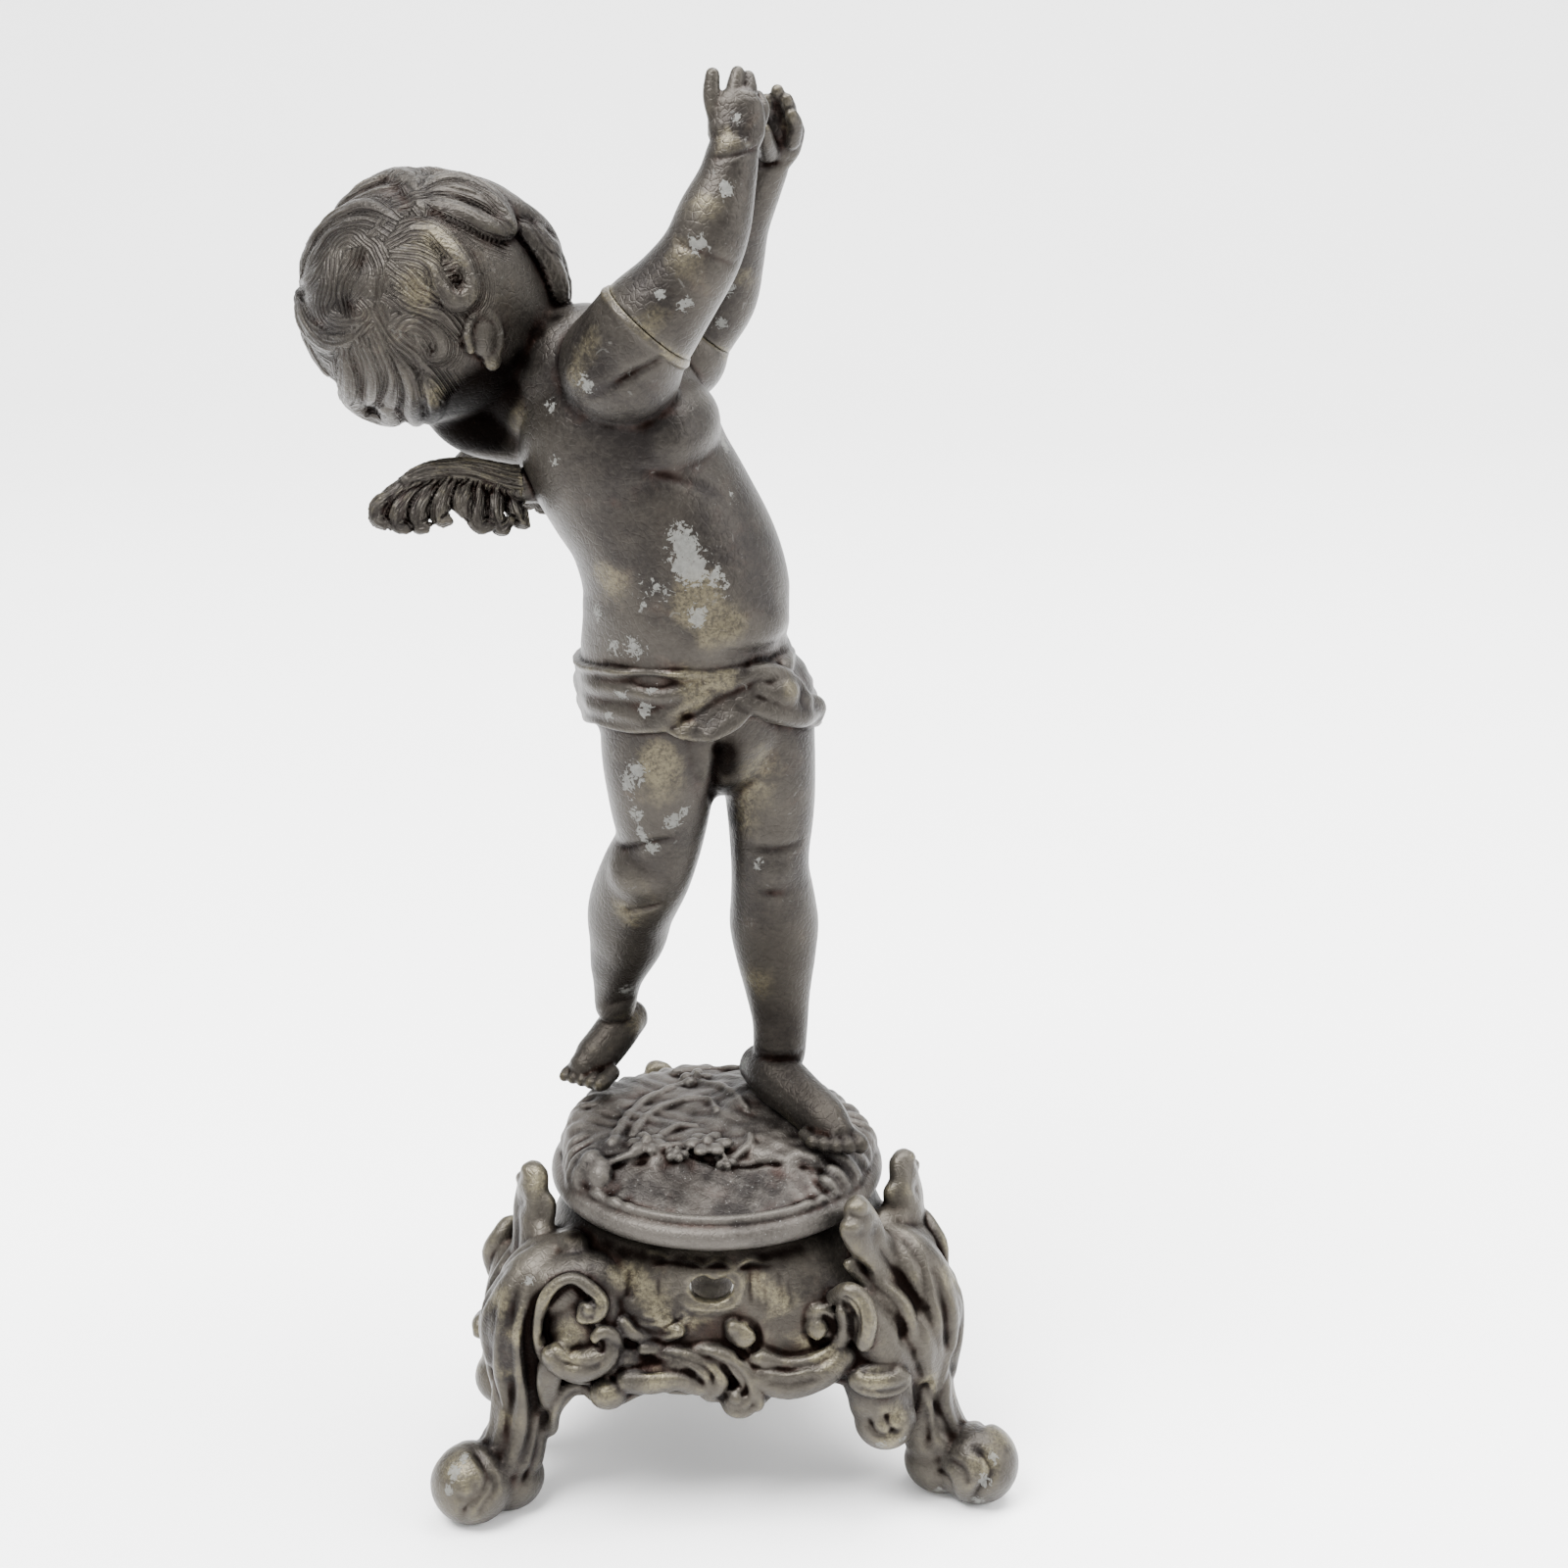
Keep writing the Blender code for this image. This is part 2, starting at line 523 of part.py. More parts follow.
def build_left_arm(material):
    """The far arm, with its palm turned towards the near hand."""
    bm = bmesh.new()
    limb(bm, [(-10.0, 25.0, 194.5, 11.5), (-3.7, 28.0, 202.0, 10.4), (2.0, 27.0, 209.6, 9.4),
              (4.8, 24.0, 219.5, 8.4), (7.3, 20.0, 228.5, 7.2), (11.2, 16.2, 237.0, 5.9),
              (14.2, 13.2, 244.5, 5.3)], sides=14)
    fingers = [((14.6, 10.5, 253.5), (14.2, 8.0, 258.0), (13.8, 5.5, 260.6)),
               ((16.6, 9.5, 254.6), (16.8, 7.5, 259.6), (16.4, 5.0, 262.8)),
               ((18.3, 9.0, 253.0), (19.2, 7.0, 257.6), (18.6, 4.6, 260.8)),
               ((19.8, 8.6, 250.6), (20.6, 6.5, 254.6), (19.8, 4.4, 257.2))]
    thumb = ((14.2, 8.0, 248.0), (13.6, 4.0, 251.0), (13.2, 1.5, 254.0))
    add_hand(bm, (14.2, 13.2, 244.5), (15.8, 11.8, 249.0), (17.2, 10.4, 252.6), fingers, thumb, 0.94)
    node = new_node("left_arm", bm, material)
    settled(node, FINE, 3, ARM_FACES)
    slice_off(node, spot(SHOULDER_PLANE) + SHOULDER_NORMAL * GAP / 2, -SHOULDER_NORMAL)
    finish_node(node, material)
    return node


def ground_level(x, y):
    """Height of the mound's top: a plateau, rises under both feet, a ledge and a front slope."""
    heel = spot((10.0, 11.0, 0.0))
    toes = spot((-34.0, 18.0, 0.0))
    spread = 2 * (9.0 * SHARE) ** 2
    rise = 4.2 * SHARE * math.exp(-((x - heel.x) ** 2 + (y - heel.y) ** 2) / spread)
    rise += 2.6 * SHARE * math.exp(-((x - toes.x) ** 2 + (y - toes.y) ** 2) / spread)
    across = x / GROUND_RADIUS
    deep = y / GROUND_RADIUS
    line = LEDGE_LINE + 0.5 * LEDGE_DROP * math.sin(across * 8.5) - 0.06 * x
    ledge = LEDGE_DROP / (1.0 + math.exp((y - line) / (0.375 * LEDGE_DROP)))
    slope = FRONT_SLOPE * max(0.0, line - y)
    dome = DOME_DROP * (across * across + deep * deep)
    rocks = 0.16 * LEDGE_DROP * math.sin(across * 13.8 + 1.0) * math.cos(deep * 12.0)
    return CROWN - PLATEAU_DROP + rise - ledge - slope - dome + rocks


def add_flower(bm, x, y, size):
    """Round-petalled blossom with a bead at its heart."""
    height = ground_level(x, y)
    wide = FLOWER_RADIUS * size
    for k in range(6):
        turn = 2 * math.pi * k / 6
        middle = (x + 0.6 * wide * math.cos(turn), y + 0.6 * wide * math.sin(turn), height)
        petal = Matrix.Translation(middle)
        grow = Matrix.Diagonal((0.4 * wide, 0.4 * wide, 0.26 * FLOWER_RADIUS, 1.0))
        bmesh.ops.create_uvsphere(bm, u_segments=10, v_segments=6, radius=1.0, matrix=petal @ grow)
    bead = Matrix.Translation((x, y, height + 0.11 * FLOWER_RADIUS))
    bmesh.ops.create_uvsphere(bm, u_segments=10, v_segments=6, radius=0.29 * wide, matrix=bead)


def build_ground(material):
    """Rocky mound with a rounded lip, flowers, and flat places under both soles."""
    bm = bmesh.new()
    sectors = 48
    lip_height = BASE_HEIGHT + GAP + LIP_RADIUS
    rim = GROUND_RADIUS - LIP_RADIUS * 0.5
    outline = [(0.2, 1.0), (0.4, 1.0), (0.6, 1.0), (0.76, 1.0), (0.88, 0.96), (0.95, 0.78), (0.985, 0.42),
               (1.0, 0.05)]
    rings = []
    for share, climb in outline:
        ring = []
        for k in range(sectors):
            turn = 2 * math.pi * k / sectors
            wobble = 1.0 + 0.014 * math.sin(turn * 7 + 1.0) + 0.01 * math.sin(turn * 11)
            x = rim * share * wobble * math.cos(turn)
            y = rim * share * wobble * math.sin(turn)
            ring.append(bm.verts.new((x, y, lip_height + (ground_level(x, y) - lip_height) * climb)))
        rings.append(ring)
    rings.append([bm.verts.new((v.co.x * 0.96, v.co.y * 0.96, BASE_HEIGHT - GAP)) for v in rings[-1]])
    for low, high in zip(rings, rings[1:]):
        for k in range(sectors):
            n = (k + 1) % sectors
            bm.faces.new((low[k], low[n], high[n], high[k]))
    top = bm.verts.new((0.0, 0.0, ground_level(0.0, 0.0)))
    for k in range(sectors):
        bm.faces.new((top, rings[0][(k + 1) % sectors], rings[0][k]))
    bm.faces.new(rings[-1])
    lip = []
    for k in range(sectors + 1):
        turn = 2 * math.pi * k / sectors
        reach = GROUND_RADIUS - LIP_RADIUS
        lip.append((reach * math.cos(turn), reach * math.sin(turn), lip_height, LIP_RADIUS, LIP_RADIUS))
    tube(bm, lip, sides=10, steps=1, wide=(0.0, 0.0, 1.0))
    add_flower(bm, -0.045 * GROUND_RADIUS, -0.36 * GROUND_RADIUS, 1.0)
    add_flower(bm, -0.4 * GROUND_RADIUS, -0.31 * GROUND_RADIUS, 0.8)
    for sole, tilt, size in ((LEFT_SOLE, LEFT_SOLE_TILT, 16.0), (RIGHT_SOLE, RIGHT_SOLE_TILT, 9.5)):
        seat = spot(sole) - tilt * (3.4 * SHARE - SOLE_DEPTH)
        turn = tilt.to_track_quat("Z", "Y").to_matrix().to_4x4()
        grow = Matrix.Diagonal((size * SHARE, size * 1.2 * SHARE, 3.6 * SHARE, 1.0))
        bmesh.ops.create_uvsphere(bm, u_segments=20, v_segments=10, radius=1.0,
                                  matrix=Matrix.Translation(seat) @ turn @ grow)
    node = new_node("ground", bm, material)
    settled(node, COARSE, 2, GROUND_FACES)
    slice_off(node, Vector((0.0, 0.0, BASE_HEIGHT + GAP)), Vector((0.0, 0.0, -1.0)))
    return node


def seat_soles(body, ground):
    """Cuts each sole flat, and a matching shallow seat into the mound."""
    for name, sole, tilt, size in (("left_sole", LEFT_SOLE, LEFT_SOLE_TILT, 46.0),
                                   ("right_sole", RIGHT_SOLE, RIGHT_SOLE_TILT, 34.0)):
        wide = size * SHARE
        below = block(name + "_cut", spot(sole) + tilt * GAP, -tilt, (wide, wide, 14.0 * SHARE))
        carve(body, below)
        seat = block(name + "_seat", spot(sole), tilt, (wide, wide, 22.0 * SHARE))
        carve(ground, seat)


def hem_share(height):
    """How far down the wall a height is: 0 at its top and above, and 1 at its hem."""
    return max(0.0, (BASE_HEIGHT - height) / (BASE_HEIGHT - BASE_HEM_HEIGHT))


def wall_reach(turn, height):
    """Distance of the wall from the axis: round at its top, a rounded triangle at its hem."""
    share = hem_share(height)
    middle = BASE_TOP_HALF + (BASE_HEM_HALF - BASE_TOP_HALF) * share ** 1.4
    power = 1.5
    total = 0.0
    for side in range(SIDES):
        facing = math.cos(turn - side_angle(side))
        total += max(0.0, facing) ** power
    corners = total ** (-1.0 / power)
    square = max(0.0, min(1.0, share * 2.2 + 0.1))
    return middle * (1.0 - square + square * corners)


def side_angle(side):
    """Direction in which a side faces; side 0 is the front."""
    return -math.pi / 2 + BASE_TURN + 2 * math.pi * side / SIDES


def leg_angle(side):
    """Direction of the leg at a side's left end."""
    return side_angle(side) - math.pi / SIDES


def hem_height(turn):
    """Wavy lower edge of the wall, with a drop at its middle, a lobe and low corners."""
    local = math.remainder(turn - side_angle(0), 2 * math.pi / SIDES) / (math.pi / SIDES)
    drop = -5.0 * math.exp(-((local - 0.13) / 0.10) ** 2) - 4.0 * math.exp(-((local + 0.55) / 0.13) ** 2)
    drop += 1.2 * math.cos(local * 14.0) - 5.0 * max(0.0, abs(local) - 0.72) / 0.28
    return drawn([(0.0, DRAWN_HEM + drop)])[0][1]


def drawn(points):
    """Carving points (along a side, up) as drawn, put on the real wall in metres."""
    wide = BASE_HEM_HALF / DRAWN_HALF
    tall = (BASE_HEIGHT - BASE_HEM_HEIGHT) / (DRAWN_TOP - DRAWN_HEM)
    return [(along * wide, BASE_HEM_HEIGHT + (up - DRAWN_HEM) * tall) for along, up in points]


def add_wall(bm):
    """Hollow wall of the base, open above and below."""
    sectors = 90
    levels = (1.0, 0.86, 0.7, 0.52, 0.34, 0.16, 0.0)
    sheets = []
    for inset in (0.0, BASE_WALL):
        rings = []
        for level in levels:
            ring = []
            for k in range(sectors):
                turn = 2 * math.pi * k / sectors
                low = hem_height(turn)
                height = low + (BASE_HEIGHT - low) * level
                reach = wall_reach(turn, height) - inset
                ring.append(bm.verts.new((reach * math.cos(turn), reach * math.sin(turn), height)))
            rings.append(ring)
        sheets.append(rings)
    outer, inner = sheets
    for rings, flip in ((outer, False), (inner, True)):
        for high, low in zip(rings, rings[1:]):
            for k in range(sectors):
                n = (k + 1) % sectors
                quad = (high[k], low[k], low[n], high[n])
                bm.faces.new(tuple(reversed(quad)) if flip else quad)
    for edge, flip in ((0, False), (-1, True)):
        for k in range(sectors):
            n = (k + 1) % sectors
            quad = (outer[edge][k], outer[edge][n], inner[edge][n], inner[edge][k])
            bm.faces.new(tuple(reversed(quad)) if flip else quad)


def on_panel(side, along, height, out=0.0):
    """Point on a side's wall: along it in metres, at a height, standing out from it."""
    turn = side_angle(side) + math.atan2(along, BASE_HEM_HALF)
    reach = wall_reach(turn, height) + out
    return (reach * math.cos(turn), reach * math.sin(turn), height)


def raised_trail(bm, side, points, thickness, taper=0.5, stand=0.3):
    """Raised scroll on a panel that follows (along, height) points and thins to its end.
    It stands out from the wall by a share of its thickness."""
    rows = []
    for k, (along, height) in enumerate(points):
        radius = thickness * (1.0 - taper * k / (len(points) - 1))
        rows.append((*on_panel(side, along, height, stand * thickness), radius, radius))
    facing = (math.cos(side_angle(side)), math.sin(side_angle(side)), 0.0)
    tube(bm, rows, sides=8, steps=1, wide=facing)


def arc(middle, wide, tall, start, step, count):
    """Points (along, height) on an ellipse round a middle, with its angles in degrees."""
    turns = [math.radians(start + step * k) for k in range(count)]
    return [(middle[0] + wide * math.cos(t), middle[1] + tall * math.sin(t)) for t in turns]


def add_panel(bm, side):
    """One side's ornament: C-scrolls, leaf sweeps, ribs, a hole rim, a lobe and a pendant."""
    thick = SCROLL_THICKNESS
    reach = SCROLL_RADIUS
    big, curl, bulb, right, small, shell, drop = drawn([
        (-33.0, 58.5), (-27.0, 52.0), (-27.5, 66.5), (21.5, 57.0), (9.5, 57.5), (29.0, 62.0),
        (6.0, DRAWN_HEM)])
    raised_trail(bm, side, arc(big, 0.86 * reach, 1.05 * reach, 58, 19, 15), thick, 0.2, 0.8)
    raised_trail(bm, side, spiral(curl, 0.44 * reach, math.radians(-60), 0.75, 0.4, 9), thick, 0.3, 0.75)
    top = spiral(bulb, 0.3 * reach, math.radians(60), -0.8, 0.4, 8)
    raised_trail(bm, side, top, thick * 0.8, 0.3, 0.75)
    hole = (HOLE_SHIFT, BASE_HEIGHT - HOLE_DROP)
    raised_trail(bm, side, arc(hole, 0.66 * HOLE_WIDTH, 0.74 * HOLE_HEIGHT, 50, -20, 15), thick * 0.55, 0.1)
    for k in range(4):
        for edge in (-1, 1):
            along = HOLE_SHIFT + edge * (1.07 + 0.25 * k) * HOLE_WIDTH
            rib = [(along, BASE_HEIGHT - 0.2 * HOLE_DROP),
                   (along + edge * 0.3 * thick, BASE_HEIGHT - (1.05 + 0.1 * k) * HOLE_DROP)]
            raised_trail(bm, side, rib, thick * 0.37)
    raised_trail(bm, side, arc(right, 0.92 * reach, 0.86 * reach, 195, 17, 12), thick * 1.15, 0.1, 0.65)
    raised_trail(bm, side, spiral(small, 0.29 * reach, 0.0, 1.1, 0.5, 9), thick * 0.8, 0.3, 0.65)
    raised_trail(bm, side, spiral(shell, 0.37 * reach, math.radians(-40), 0.9, 0.4, 9), thick, 0.3, 0.95)
    swag = drawn([(-31.0, 45.0), (-20.0, 48.5), (-9.0, 49.0), (0.0, 45.0), (6.0, 38.0)])
    raised_trail(bm, side, swag, thick * 1.2, 0.1, 0.25)
    lobe = drawn([(-33.0, 38.5), (-26.0, 38.0), (-17.0, 42.5), (-7.0, 43.0)])
    raised_trail(bm, side, lobe, thick * 1.33, 0.2, 0.1)
    leaf = drawn([(-23.0, 57.5), (-15.0, 56.5), (-7.0, 60.0)])
    raised_trail(bm, side, leaf, thick * 1.05, 0.3, 0.1)
    sweep = drawn([(5.0, 44.0), (15.0, 44.0), (26.0, 44.5), (35.0, 49.0)])
    raised_trail(bm, side, sweep, thick * 1.33, 0.1, 0.2)
    pendant = on_panel(side, drop[0], drop[1] - 0.43 * PENDANT_RADIUS, -0.13 * PENDANT_RADIUS)
    bmesh.ops.create_uvsphere(bm, u_segments=12, v_segments=8, radius=PENDANT_RADIUS,
                              matrix=Matrix.Translation(pendant))


def leg_place(side, out, across, height):
    """Point by a leg: distance out from the axis, and sideways from the leg's own line."""
    turn = leg_angle(side)
    return (out * math.cos(turn) - across * math.sin(turn), out * math.sin(turn) + across * math.cos(turn),
            height)


def add_leg(bm, side):
    """A splayed leg with its shoulder, foot knob, flutes, hanging ball and crown leaves."""
    turn = leg_angle(side)
    outward = (math.cos(turn), math.sin(turn), 0.0)
    rows = [(0.70, 0.9, 0.75), (0.92, 0.85, 1.0), (1.0, 0.73, 1.02), (1.0, 0.59, 0.96),
            (0.99, 0.45, 0.92), (1.0, 0.32, 0.96), (1.05, 0.19, 1.02)]
    shin = [(*leg_place(side, LEG_REACH * out, 0.0, BASE_HEIGHT * up), LEG_RADIUS * r, 0.92 * LEG_RADIUS * r)
            for out, up, r in rows]
    tube(bm, shin, sides=14, steps=2, wide=outward)
    knob = Matrix.Translation(leg_place(side, FOOT_REACH, 0.0, FOOT_RADIUS - FOOT_FLAT))
    bmesh.ops.create_uvsphere(bm, u_segments=18, v_segments=12, radius=FOOT_RADIUS, matrix=knob)
    heel = Matrix.Translation(leg_place(side, FOOT_REACH * 0.86, 0.0, 0.8 * FOOT_RADIUS - FOOT_FLAT))
    bmesh.ops.create_uvsphere(bm, u_segments=16, v_segments=10, radius=FOOT_RADIUS * 0.8, matrix=heel)
    for share in (-0.6, 0.0, 0.6):
        ridge = []
        for out, up, r in rows[1:]:
            crest = LEG_RADIUS * r * math.sqrt(1.0 - share ** 2) * 0.88
            ridge.append((*leg_place(side, LEG_REACH * out + crest, LEG_RADIUS * share, BASE_HEIGHT * up),
                          LEG_RADIUS * 0.21, LEG_RADIUS * 0.21))
        tube(bm, ridge, sides=6, steps=2, wide=outward)
    beside = -(0.86 * LEG_RADIUS + BALL_RADIUS)
    ball = Matrix.Translation(leg_place(side, LEG_REACH * 0.93, beside, BASE_HEIGHT * 0.35))
    bmesh.ops.create_uvsphere(bm, u_segments=14, v_segments=10, radius=BALL_RADIUS, matrix=ball)
    hold = []
    for out, across, up, r in ((0.88, 1.2, 0.72, 0.48), (0.93, 0.97, 0.54, 0.77), (0.94, 0.8, 0.4, 0.83)):
        place = leg_place(side, LEG_REACH * out, beside * across, BASE_HEIGHT * up)
        hold.append((*place, BALL_RADIUS * r, BALL_RADIUS * r))
    tube(bm, hold, sides=8, steps=2, wide=outward)
    for edge in (-1, 1):
        leaf = [(*leg_place(side, GROUND_RADIUS + LEAF_RADIUS * out, edge * LEAF_RADIUS * across, height),
                 LEAF_RADIUS * r, 0.8 * LEAF_RADIUS * r)
                for out, across, height, r in ((2.3, 1.4, BASE_HEIGHT * 0.8, 1.0),
                                               (1.5, 2.0, BASE_HEIGHT * 0.95, 1.0),
                                               (1.05, 2.5, BASE_HEIGHT + 0.45 * LEAF_RISE, 0.8),
                                               (0.7, 2.9, BASE_HEIGHT + LEAF_RISE, 0.5))]
        if edge < 0 or side != 0:
            tube(bm, leaf, sides=8, steps=2, wide=outward)


def cutter_from(name, bm):
    """Turns a bmesh into a hidden cutter."""
    bmesh.ops.recalc_face_normals(bm, faces=bm.faces)
    mesh = bpy.data.meshes.new(name)
    bm.to_mesh(mesh)
    bm.free()
    cutter = bpy.data.objects.new(name, mesh)
    bpy.context.collection.objects.link(cutter)
    cutter.hide_render = True
    cutter.display_type = "WIRE"
    return cutter


def hole_cutter(side):
    """Bean-shaped prism that pierces one side of the base."""
    bm = bmesh.new()
    steps = 18
    middle = BASE_HEIGHT - HOLE_DROP
    rings = []
    for out in (-3.0 * BASE_WALL, 3.0 * BASE_WALL):
        ring = []
        for k in range(steps):
            t = 2 * math.pi * k / steps
            notch = 1.0 - 0.36 * math.exp(-((t - math.pi / 2) / 0.42) ** 2)
            x, y, _ = on_panel(side, HOLE_SHIFT + 0.5 * HOLE_WIDTH * math.cos(t), middle, out)
            ring.append(bm.verts.new((x, y, middle + 0.5 * HOLE_HEIGHT * notch * math.sin(t))))
        rings.append(ring)
    for k in range(steps):
        n = (k + 1) % steps
        bm.faces.new((rings[0][k], rings[0][n], rings[1][n], rings[1][k]))
    bm.faces.new(rings[0])
    bm.faces.new(rings[1])
    return cutter_from(f"hole_{side}", bm)


def ground_space():
    """Round space over the base that the ground's lip needs."""
    bm = bmesh.new()
    tall = GROUND_HEIGHT + LEAF_RISE
    middle = Matrix.Translation((0.0, 0.0, BASE_HEIGHT + tall / 2))
    bmesh.ops.create_cone(bm, cap_ends=True, segments=64, radius1=GROUND_RADIUS + GAP,
                          radius2=GROUND_RADIUS + GAP, depth=tall, matrix=middle)
    return cutter_from("ground_space", bm)


def build_base(material):
    """Footed base: the same panel and leg at each side of a hollow wall."""
    bm = bmesh.new()
    add_wall(bm)
    for side in range(SIDES):
        add_panel(bm, side)
        add_leg(bm, side)
    node = new_node("footed_base", bm, material)
    settled(node, COARSE, 1, BASE_FACES)
    slice_off(node, Vector((0.0, 0.0, 0.0)), Vector((0.0, 0.0, -1.0)))
    for side in range(SIDES):
        carve(node, hole_cutter(side))
    carve(node, ground_space())
    finish_node(node, material)
    return node


def build_statue():
    """Every casting of the statue, under one empty at the base's middle."""
    skin = metal("dark_spelter_figure", (0.090, 0.080, 0.070), 0.42, 0.65)
    stone = metal("dark_spelter_ground", (0.075, 0.070, 0.066), 0.55, 0.55)
    bronze = metal("rubbed_spelter_base", (0.105, 0.095, 0.080), 0.45, 0.65)
    feather = metal("rubbed_spelter_wings", (0.120, 0.108, 0.088), 0.45, 0.65)
    body = build_body(skin)
    ground = build_ground(stone)
    seat_soles(body, ground)
    finish_node(ground, stone)
    for name in WING_SOCKETS:
        place, away = socket_plane(name)
        carve(body, block(name + "_seam", place, away, (16.0 * SHARE, 16.0 * SHARE, 10.0 * SHARE)))
    nodes = [body, ground, build_right_arm(skin), build_left_arm(skin),
             build_wing("right_wing", feather), build_wing("left_wing", feather),
             build_base(bronze)]
    low, high = bounds(nodes)
    stand = bpy.data.objects.new("statue", None)
    for thing in list(bpy.data.objects):
        if thing != stand:
            thing.parent = stand
    bpy.context.collection.objects.link(stand)
    stand.location = (-(low.x + high.x) / 2, -(low.y + high.y) / 2, 0.0)
    return nodes


def bounds(nodes):
    """Lowest and highest corners of the nodes as they are built, before they are centred."""
    places = [Vector(v.co) for node in nodes for v in evaluated_mesh(node).vertices]
    low = Vector([min(p[i] for p in places) for i in range(3)])
    high = Vector([max(p[i] for p in places) for i in range(3)])
    return low, high


def main():
    """Builds the statue in an empty scene."""
    clear_scene()
    build_statue()


main()
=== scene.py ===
"""Spelter cherub statue, dressed for its portrait: each casting is worked as a fine
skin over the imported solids, in a worn dark patina, on a pale studio floor."""

import logging
import math
from dataclasses import dataclass, field
from enum import Enum

import bmesh
import bpy
import numpy as np
from mathutils import Matrix, Vector
from mathutils.kdtree import KDTree


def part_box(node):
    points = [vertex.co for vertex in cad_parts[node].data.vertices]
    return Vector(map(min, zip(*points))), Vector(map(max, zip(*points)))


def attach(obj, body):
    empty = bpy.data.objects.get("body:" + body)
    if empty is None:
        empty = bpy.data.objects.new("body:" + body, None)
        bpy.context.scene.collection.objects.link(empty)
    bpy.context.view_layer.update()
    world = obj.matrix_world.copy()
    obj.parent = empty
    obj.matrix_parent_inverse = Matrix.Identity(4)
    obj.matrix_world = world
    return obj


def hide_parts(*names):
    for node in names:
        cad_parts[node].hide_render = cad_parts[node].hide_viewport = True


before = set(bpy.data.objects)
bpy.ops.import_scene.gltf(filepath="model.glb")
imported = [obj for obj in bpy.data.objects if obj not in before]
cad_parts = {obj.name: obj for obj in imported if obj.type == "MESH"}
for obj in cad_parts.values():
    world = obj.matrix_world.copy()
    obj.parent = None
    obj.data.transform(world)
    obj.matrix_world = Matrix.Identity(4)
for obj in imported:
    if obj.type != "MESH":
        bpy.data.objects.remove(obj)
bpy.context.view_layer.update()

MM = 0.001
Row = tuple[float, ...]
Rows = list[Row]
Object = bpy.types.Object

log = logging.getLogger("cherub")


def ground_axis() -> Vector:
    """Place of the base's axis on the floor, read from the round mound above it."""
    low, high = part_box("ground")
    return Vector(((low.x + high.x) / 2, (low.y + high.y) / 2, 0.0))


# The mound's crown above the floor, and the figure's shift behind the base's axis, in mm
AXIS = ground_axis()
CROWN = 100.5
SETBACK = 3.0


def spot(x: float, y: float, z: float) -> Vector:
    """World place of a figure point, in mm from the mound's crown."""
    return AXIS + Vector((x, y + SETBACK, z + CROWN)) * MM


def smooth_rows(rows: Rows, steps: int) -> np.ndarray:
    """Runs a smooth curve through rows of numbers.

    Args:
        rows: Rows of equal length.
        steps: How many rows each span becomes.

    Returns:
        The rows of the curve.
    """
    given = np.array(rows, dtype=float)
    padded = np.vstack([2 * given[0] - given[1], given, 2 * given[-1] - given[-2]])
    out = []
    for i in range(1, len(padded) - 2):
        p0, p1, p2, p3 = padded[i - 1:i + 3]
        for k in range(steps):
            t = k / steps
            out.append(0.5 * (2 * p1 + (p2 - p0) * t + (2 * p0 - 5 * p1 + 4 * p2 - p3) * t * t
                              + (3 * p1 - p0 - 3 * p2 + p3) * t ** 3))
    out.append(given[-1])
    return np.array(out)


def only(thing: Object) -> None:
    """Selects one object and makes it the active one."""
    bpy.ops.object.select_all(action="DESELECT")
    thing.select_set(True)
    bpy.context.view_layer.objects.active = thing


def applied(thing: Object, kind: str, **settings: object) -> None:
    """Adds a modifier to an object and applies it.

    Args:
        thing: The object.
        kind: The modifier's type.
        settings: Its settings.
    """
    only(thing)
    modifier = thing.modifiers.new(kind.lower(), kind)
    for name, value in settings.items():
        setattr(modifier, name, value)
    bpy.ops.object.modifier_apply(modifier=modifier.name)


